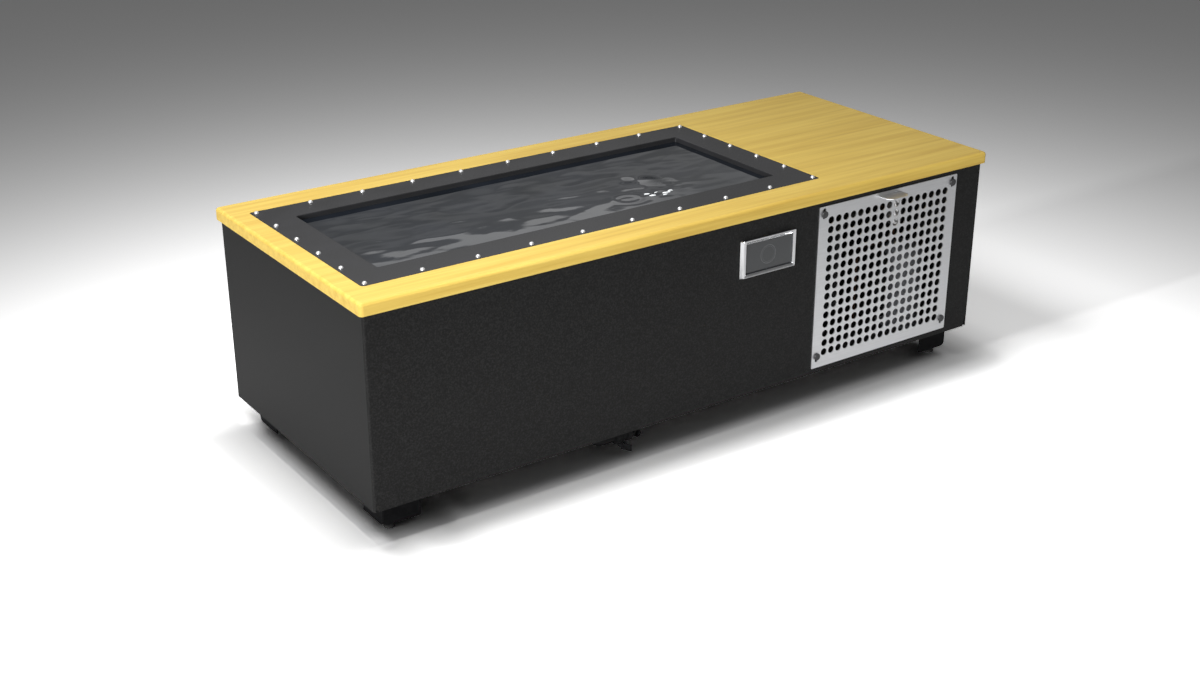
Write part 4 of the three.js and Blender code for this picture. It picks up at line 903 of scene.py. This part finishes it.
def makeBezel():
    lo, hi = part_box("display_bezel")
    glassLo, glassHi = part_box("display_glass")
    length, proud, height = (hi - lo) / mm
    low = (hi.y - glassLo.y) / mm + bezel["overlap"]
    bar = bezel["bar"]
    steps = [(0, 0, 0)] + [(inset, upper, proud - fall) for inset, upper, fall in bezel["face"]]
    steps += [(bar, bar, low), (bar, bar, 0)]
    rings = []
    for inset, upper, up in steps:  # the upper bar leans in harder than the others
        radius = bezel["corner"] + (bezel["innerCorner"] - bezel["corner"]) * inset / bar
        size = (length - 2 * inset, height - inset - upper)
        rings.append(roundedRing((0, (inset - upper) / 2), size, radius, up, 6))
    piece = loft("displayFrame", rings, closed=True)
    place = Vector(((lo.x + hi.x) / 2, hi.y, (lo.z + hi.z) / 2))
    piece.data.transform(Matrix.Translation(place) @ turnTo["front"] @ Matrix.Scale(mm, 4))
    return smoothed(piece, 28)


dress(makeBezel(), finishes["chrome"], "display_bezel")
print("display done")

foot = {"pad": 15.5, "padHeight": 8, "padEdge": 1.6, "padChamfer": 1, "collar": 9, "collarRise": (2.2, 4.5, 4.6),
        "stem": 6, "threadStart": 6, "threadPitch": 1.75, "threadDepth": 0.5, "tip": 0.4, "bracketEdge": 0.8}


def makeFoot(label):
    lo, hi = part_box(f"levelling_foot_{label}")
    tall = (hi.z - lo.z) / mm
    pad = foot["pad"]
    edge = foot["padEdge"]
    top = foot["padHeight"]
    chamfer = foot["padChamfer"]
    collar = foot["collar"]
    stem = foot["stem"]
    collarLow, collarHigh, neck = [top + rise for rise in foot["collarRise"]]
    profile = [(0, 0), (pad - edge, 0), *arc((pad - edge, edge), edge, 270, 360, 4)]
    profile += [(pad, top - chamfer), (pad - chamfer, top), (collar, collarLow), (collar, collarHigh), (stem, neck)]
    up = top + foot["threadStart"]
    while up < tall - foot["threadPitch"]:
        profile += [(stem, up), (stem - foot["threadDepth"], up + foot["threadPitch"] / 2)]
        up += foot["threadPitch"]
    profile += [(stem, tall - foot["tip"]), (stem - foot["tip"], tall), (0, tall)]
    spot = ((lo.x + hi.x) / 2, (lo.y + hi.y) / 2, lo.z)
    piece = smoothed(lathe(f"levellingFoot_{label}", profile, spot, "up", 40))
    return dress(piece, finishes["foot_rubber"], f"levelling_foot_{label}")


for label in ("front_left", "front_right", "back_left", "back_right"):
    makeFoot(label)
    softCopy(f"foot_bracket_{label}", f"footBracket_{label}", foot["bracketEdge"], finishes["black_steel"])
print("feet done")

drain = {"pipe": 17, "nut": 25, "nutLength": 16, "nutFace": 2.5, "nutEdge": 1.2, "barrel": 20, "barrelStep": 0.6,
         "ribs": 18, "ribDepth": 0.022, "ribStart": 0.5, "boss": 9, "bossEdge": 0.6, "leverEdge": 0.8,
         "spout": 13, "armStep": 0.5, "spoutBore": 10, "boreDepth": 16, "borePast": 2, "spoutEdge": 0.6}


def makeDrain():
    pipeLo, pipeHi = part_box("drain_pipe")
    valveLo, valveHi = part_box("drain_valve")
    outLo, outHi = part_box("drain_outlet")
    valve = (valveLo + valveHi) / 2
    axisZ = valveHi.z - drain["nut"] * mm
    drop = middleOf("drain_bulkhead")
    run = [(drop.x, drop.y, pipeHi.z), (drop.x, drop.y, axisZ), (drop.x, valve.y, axisZ), (pipeHi.x, valve.y, axisZ)]
    pipe = sweep("drainPipe", run, drain["pipe"] * mm, drain["pipe"] * mm, 28)
    dress(smoothed(pipe), finishes["black_plastic"], "drain_pipe")

    length = (valveHi.x - valveLo.x) / mm
    nut = drain["nut"]
    edge = drain["nutEdge"]
    ring = drain["nutLength"]
    half = [(0, 0), (nut - drain["nutFace"], 0), (nut, edge), (nut, ring - edge), (nut - edge, ring)]
    half.append((drain["barrel"], ring + drain["barrelStep"]))
    profile = half + [(radius, length - along) for radius, along in half[::-1]]  # the same nut at either end
    barrel = lathe("drainValve", profile, (valveLo.x, valve.y, axisZ), "right", 36)
    down = (axisZ - valveLo.z) / mm
    boss = drain["boss"]
    profile = [(0, -down), (boss - drain["bossEdge"], -down), (boss, drain["bossEdge"] - down), (boss, 0), (0, 0)]
    body = carve(barrel, lathe("boss", profile, (valve.x, valve.y, axisZ), "up", 28), "UNION")
    for vert in body.data.vertices:  # grip ribs on both nuts
        away = Vector((vert.co.y - valve.y, vert.co.z - axisZ))
        if away.length > (nut - drain["ribStart"]) * mm:
            rib = 0.5 + 0.5 * math.cos(drain["ribs"] * math.atan2(away.y, away.x))
            push = 1 - drain["ribDepth"] * rib
            vert.co.y = valve.y + away.x * push
            vert.co.z = axisZ + away.y * push
    dress(smoothed(body), finishes["black_plastic"], "drain_valve")
    softCopy("drain_lever", "drainLever", drain["leverEdge"], finishes["black_plastic"])

    radius = drain["spout"]
    mouthX = outHi.x - radius * mm
    nose = (valve.y - outLo.y) / mm
    profile = [*arc((0, 0), radius, 270, 360, 7), (radius, nose), (0, nose)]
    spout = lathe("drainSpout", profile, (mouthX, valve.y, axisZ), "front", 32)
    arm = rod(radius - drain["armStep"], (mouthX - outLo.x) / mm)
    carve(spout, lathe("arm", arm, (outLo.x, valve.y, axisZ), "right", 32), "UNION")
    deep = drain["boreDepth"]
    bore = rod(drain["spoutBore"], deep + drain["borePast"])
    carve(spout, lathe("bore", bore, (mouthX, outLo.y + deep * mm, axisZ), "front", 28))
    dress(smoothed(eased(spout, drain["spoutEdge"], 2, 50)), finishes["grey_plastic"], "drain_outlet")


makeDrain()
print("drain done")

chiller = {  # what shows through the holes and the vents
    "baseRadius": 75, "base": 3, "baseEdge": 0.5, "canRadius": 59, "canFoot": 14, "canStep": 2, "canDome": 26,
    "seamAt": 0.42, "seamProud": 0.8, "seam": (1, 7, 8), "drierNeck": 5.3, "drierRound": 14, "drierRise": 15,
    "finPitch": 3.2, "finThickness": 0.5, "finInset": (8, 16), "endPlate": 3, "tubeRows": 8, "tube": 9.5,
    "tubeMargin": 0.6}


def makeChiller():
    lo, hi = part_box("compressor")
    tall = (hi.z - lo.z) / mm
    base = chiller["baseRadius"]
    high = chiller["base"]
    edge = chiller["baseEdge"]
    can = chiller["canRadius"]
    bottom = chiller["canFoot"]
    dome = chiller["canDome"]
    belt = can + chiller["seamProud"]
    seam = tall * chiller["seamAt"]
    seamLow, seamHigh, seamEnd = [seam + rise for rise in chiller["seam"]]
    profile = [(0, 0), (base - edge, 0), (base, edge), (base, high - edge), (base - edge, high)]
    profile += [(can - bottom - chiller["canStep"], high), *arc((can - bottom, high + bottom), bottom, 300, 360, 5)]
    profile += [(can, seam), (belt, seamLow), (belt, seamHigh), (can, seamEnd)]
    profile += [*arc((can - dome, tall - dome), dome, 0, 90, 8), (0, tall)]
    spot = ((lo.x + hi.x) / 2, (lo.y + hi.y) / 2, lo.z)
    dress(smoothed(lathe("compressorCan", profile, spot, "up", 56)), finishes["grey_paint"], "compressor")
    lo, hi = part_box("filter_drier")
    tall = (hi.z - lo.z) / mm
    neck = chiller["drierNeck"]
    turn = chiller["drierRound"]
    rise = chiller["drierRise"]
    middle = (hi.x - lo.x) / 2 / mm - turn
    profile = [(0, 0), (neck, 0), *arc((middle, rise), turn, 290, 360, 6)]
    profile += [*arc((middle, tall - rise), turn, 0, 70, 6), (neck, tall), (0, tall)]
    spot = ((lo.x + hi.x) / 2, (lo.y + hi.y) / 2, lo.z)
    dress(smoothed(lathe("filterDrier", profile, spot, "up", 48)), brightDrier, "filter_drier")


def finTree():
    tree, given = newGrowth("finBlock", {
        "Count": "Int", "Pitch": "Float", "Fin Size": "Vector", "Plate Size": "Vector", "Tube Diameter": "Float",
        "Tube Rows": "Int", "Tube Pitch": "Float", "Finish": "Material"})

    def row(count, span, pitch, axis):  # points in a row about the middle
        start = combined(tree, **{axis: math2(tree, "MULTIPLY", span, -0.5)})
        return addNode(tree, "GeometryNodeMeshLine", {
            "Count": count, "Start Location": start, "Offset": combined(tree, **{axis: pitch})}).outputs[0]

    span = spanOf(tree, given["Pitch"], given["Count"])
    rise = spanOf(tree, given["Tube Pitch"], given["Tube Rows"])
    fin = addNode(tree, "GeometryNodeMeshCube", {"Size": given["Fin Size"]})
    plate = addNode(tree, "GeometryNodeMeshCube", {"Size": given["Plate Size"]})
    tube = addNode(tree, "GeometryNodeMeshCylinder", {
        "Vertices": 12, "Radius": math2(tree, "MULTIPLY", given["Tube Diameter"], 0.5), "Depth": span})
    lying = transformed(tree, tube.outputs[0], Rotation=(0, math.pi / 2, 0))
    every = addNode(tree, "GeometryNodeJoinGeometry", {"Geometry": [
        instances(tree, row(given["Count"], span, given["Pitch"], "x"), fin.outputs[0]),
        instances(tree, row(2, span, span, "x"), plate.outputs[0]),
        instances(tree, row(given["Tube Rows"], rise, given["Tube Pitch"], "z"), lying)]})
    return closeGrowth(tree, every.outputs[0], given["Finish"])


def makeFinBlock():
    lo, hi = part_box("condenser")
    size = hi - lo
    plate = chiller["endPlate"] * mm
    insetY, insetZ = chiller["finInset"]
    count = int((size.x - plate) / (chiller["finPitch"] * mm)) + 1
    piece = grow("finBlock", finTree(), {
        "Count": count, "Pitch": (size.x - plate) / (count - 1),
        "Fin Size": (chiller["finThickness"] * mm, size.y - insetY * mm, size.z - insetZ * mm),
        "Plate Size": (plate, size.y, size.z), "Tube Diameter": chiller["tube"] * mm,
        "Tube Rows": chiller["tubeRows"], "Tube Pitch": size.z / (chiller["tubeRows"] + chiller["tubeMargin"]),
        "Finish": finishes["condenser_fins"]})
    return moved(piece, (lo + hi) / 2)


makeChiller()
dress(makeFinBlock(), finishes["condenser_fins"], "condenser")
print("chiller done")

inlet = {"half": 20, "setBack": 1.5, "corner": 5, "plate": 2.7, "recess": (27, 20), "recessCorner": 3,
         "recessSpan": (-1, 16), "pins": ((-7, -2), (0, 3), (7, -2)), "pinHalf": (1, 2.5), "pinSpan": (17, 3),
         "edge": 0.6}


def makeInlet():
    lo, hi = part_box("power_inlet")
    middle = (lo + hi) / 2
    half = inlet["half"] * mm

    def facing(name, size, corner, span, steps):  # a rounded block that looks out of the sheet
        block = loft(name, [roundedRing((0, 0), size, corner * mm, up * mm, steps) for up in span])
        block.data.transform(Matrix.Translation((middle.x, hi.y, middle.z)) @ turnTo["front"])
        return block

    body = boxPiece((middle.x - half, lo.y, middle.z - half),
                    (middle.x + half, hi.y - inlet["setBack"] * mm, middle.z + half), "powerInlet")
    flange = facing("flange", (hi.x - lo.x, hi.z - lo.z), inlet["corner"], (0, inlet["plate"]), 6)
    carve(body, flange, "UNION")
    recess = [side * mm for side in inlet["recess"]]
    carve(body, facing("recess", recess, inlet["recessCorner"], inlet["recessSpan"], 5))
    wide, tall = inlet["pinHalf"]
    deep, shallow = inlet["pinSpan"]
    pins = []
    for x, z in inlet["pins"]:
        pins.append(boxPiece((middle.x + (x - wide) * mm, hi.y - deep * mm, middle.z + (z - tall) * mm),
                             (middle.x + (x + wide) * mm, hi.y - shallow * mm, middle.z + (z + tall) * mm)))
    return joined([smoothed(eased(body, inlet["edge"]), 40), *pins])


dress(makeInlet(), finishes["black_plastic"], "power_inlet")
print("inlet done")

# floor: painted pool of light (glow, reach, fall, peak, far) and painted shadow round the part (shade, left, front)
stage = {
    "floor": 60, "glow": (-0.1, -0.89, 0.0), "reach": 6.0, "fall": 4.45, "peak": 3.15, "far": 0.595, "bounce": 1.4,
    "underAt": (0.11, 0.002, 0.0), "underHalf": (0.98, 0.448, 0.0), "shadeSpan": (-0.3, 0.3),
    "shade": [(0.0, 1.2), (0.217, 1.2), (0.25, 1.19), (0.283, 1.02), (0.317, 0.71), (0.35, 0.5), (0.383, 0.67),
              (0.417, 0.84), (0.45, 0.6), (0.483, 0.49), (0.517, 0.48), (0.55, 0.54), (0.583, 0.6), (0.62, 0.64),
              (0.7, 0.86), (0.87, 1.0)],
    "leftSpan": (-1.029, -1.289), "backFade": (0.55, 0.42),
    "left": [(0.0, 0.9), (0.08, 1.82), (0.16, 2.15), (0.2, 1.5), (0.23, 0.92), (0.31, 0.87), (0.39, 0.8),
             (0.62, 0.72), (1.0, 1.0)],
    "frontSpan": (-1.2, 1.2), "frontFade": (-0.43, -0.39),
    "front": [(0.0, 0.8), (0.06, 0.8), (0.1, 1.05), (0.17, 1.2), (0.25, 1.12), (0.5, 0.98), (0.75, 0.86),
              (0.9, 0.9), (0.98, 1.0)],
    "sky": (0.01, 0.4), "skyStep": (0.55, 0.85), "skyLean": (0.5, 0.35, 0.0),
    "panelUp": (0.0098, -0.3936, 0.9193), "panelEdge": (-0.001, 0.002),
    "panelLeft": (-0.799, 0.601, 0.0), "panelSide": (-0.03, 0.03), "panelLight": 1.3,
    "gloom": (0.03, 0.14), "gloomSpan": (-0.3, -0.02), "rear": (0.16, 0.5), "rearSpan": (-0.075, 0.0),
    "rearTurn": (0.0, 0.4), "slats": 0.075, "slatPitch": 0.02, "backdrop": 0.122}
lamps = {  # the first and the last light the part alone, the second its shadow on the floor
    "key": {"at": (-1.1, -0.3, 2.7), "aim": (-1.1, -0.3, 0.0), "size": 1.2, "power": 50.5, "floor": "EXCLUDE"},
    "ground": {"at": (-0.8, 0.0, 2.7), "aim": (-0.8, 0.0, 0.0), "size": 1.3, "power": 50, "floor": "INCLUDE"},
    "side": {"at": (0.95, -0.25, 2.7), "aim": (0.95, -0.25, 0.0), "size": 1.3, "power": 3.6, "floor": None},
    "fill": {"at": (-8.0, -5.3, 2.6), "aim": (0.0, -0.2, 0.45), "size": 4.0, "power": 1000, "floor": "EXCLUDE"}}


def floorWithPaintedLight():  # painted pool of light: white round the part, grey far away, with painted shadow close to the part
    finish, tree, shader = newFinish("studioFloor")
    tree.nodes.remove(shader)
    spot = objectSpot(tree)
    sides = axesOf(tree, spot)

    def shaded(value, span, stops):  # a painted shade factor along a measure
        greys = [(where, (dim, dim, dim, 1)) for where, dim in stage[stops]]
        return tones(tree, spread(tree, value, 0.0, 1.0, *stage[span]), greys)

    def fade(span, first, second):
        return mixed(tree, spread(tree, sides[1], 0.0, 1.0, *stage[span]), first, second)

    # painted pool of light: the floor colour falls from the glow point outwards
    ratio = math2(tree, "DIVIDE", vector2(tree, "DISTANCE", spot, stage["glow"], "Value"), stage["reach"])
    fall = math2(tree, "POWER", math2(tree, "ADD", math2(tree, "MULTIPLY", ratio, ratio), 1.0), -stage["fall"])
    tone = math2(tree, "ADD", math2(tree, "MULTIPLY", fall, stage["peak"]), stage["far"])
    offset = vector2(tree, "ABSOLUTE", vector2(tree, "SUBTRACT", spot, stage["underAt"]))
    offset = vector2(tree, "SUBTRACT", offset, stage["underHalf"])
    beyond = vector2(tree, "LENGTH", vector2(tree, "MAXIMUM", offset), output="Value")
    axes = axesOf(tree, offset)
    within = math2(tree, "MINIMUM", math2(tree, "MAXIMUM", axes[0], axes[1]), 0.0)
    near = shaded(math2(tree, "ADD", beyond, within), "shadeSpan", "shade")  # painted shadow close to the part
    # painted shadow along the left side and in front of the part
    beside = fade("backFade", 1.0, shaded(sides[0], "leftSpan", "left"))
    beside = fade("frontFade", shaded(sides[0], "frontSpan", "front"), beside)
    tone = math2(tree, "MULTIPLY", math2(tree, "MULTIPLY", tone, near), beside)
    seen = addNode(tree, "ShaderNodeLightPath").outputs["Is Camera Ray"]
    level = mixed(tree, seen, math2(tree, "MINIMUM", tone, stage["bounce"]), tone)
    matt = addNode(tree, "ShaderNodeBsdfDiffuse", {"Color": level})
    tree.links.new(matt.outputs[0], tree.nodes["Material Output"].inputs["Surface"])
    return finish


def lightWorld():  # soft light from above, and what shiny faces mirror
    world = bpy.data.worlds.new("studio")
    scene.world = world
    world.use_nodes = True
    tree = world.node_tree
    path = addNode(tree, "ShaderNodeLightPath").outputs
    view = addNode(tree, "ShaderNodeTexCoord").outputs["Generated"]

    def past(side):  # how far a direction leans to one side
        return vector2(tree, "DOT_PRODUCT", view, side, "Value")

    soft = spread(tree, past((0, 0, 1)), *stage["sky"], *stage["skyStep"])
    soft = math2(tree, "MULTIPLY", soft, math2(tree, "ADD", past(stage["skyLean"]), 1.0))
    over = past(stage["panelUp"])
    behind = spread(tree, past((0, 1, 0)), 0.0, 1.0, *stage["rearTurn"])
    slats = math2(tree, "SINE", math2(tree, "MULTIPLY", over, 2 * math.pi / stage["slatPitch"]))
    slats = math2(tree, "MULTIPLY", slats, stage["slats"])  # light slats, as veins in the water
    rear = math2(tree, "ADD", spread(tree, over, *stage["rear"], *stage["rearSpan"]), slats)
    gloom = mixed(tree, behind, spread(tree, over, *stage["gloom"], *stage["gloomSpan"]), rear)
    above = spread(tree, over, 0.0, stage["panelLight"] - stage["rear"][1], *stage["panelEdge"])
    beside = spread(tree, past(stage["panelLeft"]), 0.0, 1.0, *stage["panelSide"])
    sheen = math2(tree, "ADD", gloom, math2(tree, "MULTIPLY", above, beside))
    level = mixed(tree, path["Is Glossy Ray"], soft, sheen)
    level = mixed(tree, path["Is Camera Ray"], level, stage["backdrop"])
    tree.links.new(level, tree.nodes["Background"].inputs["Strength"])
    tree.nodes["Background"].inputs["Color"].default_value = (1, 1, 1, 1)


def makeStage():
    bm = bmesh.new()
    bmesh.ops.create_grid(bm, x_segments=1, y_segments=1, size=stage["floor"] / 2)
    floor = pieceFrom(meshFrom(bm, "studioFloor"), "studioFloor", floorWithPaintedLight())
    lightWorld()
    linked = {}
    for state in ("EXCLUDE", "INCLUDE"):
        linked[state] = bpy.data.collections.new("floor" + state.title())
        linked[state].objects.link(floor)
        linked[state].collection_objects[0].light_linking.link_state = state
    for label, values in lamps.items():
        lamp = bpy.data.lights.new(label, "AREA")
        lamp.shape = "DISK"
        lamp.size = values["size"]
        lamp.energy = values["power"]
        light = bpy.data.objects.new(label, lamp)
        light.location = values["at"]
        aim = Vector(values["aim"]) - Vector(values["at"])
        light.rotation_euler = aim.to_track_quat("-Z", "Y").to_euler()
        scene.collection.objects.link(light)
        if values["floor"]:
            light.light_linking.receiver_collection = linked[values["floor"]]


view = {"lens": 49.73, "sensor": 36, "far": 200, "at": (-2.7607, -3.83035, 2.2365), "turn": (66.461, 0, -34.934)}


def makeCamera():
    eye = bpy.data.cameras.new("camera")
    eye.lens = view["lens"]
    eye.sensor_width = view["sensor"]
    eye.clip_end = view["far"]
    camera = bpy.data.objects.new("camera", eye)
    camera.location = view["at"]
    camera.rotation_euler = [math.radians(angle) for angle in view["turn"]]
    scene.collection.objects.link(camera)
    scene.camera = camera


makeStage()
makeCamera()
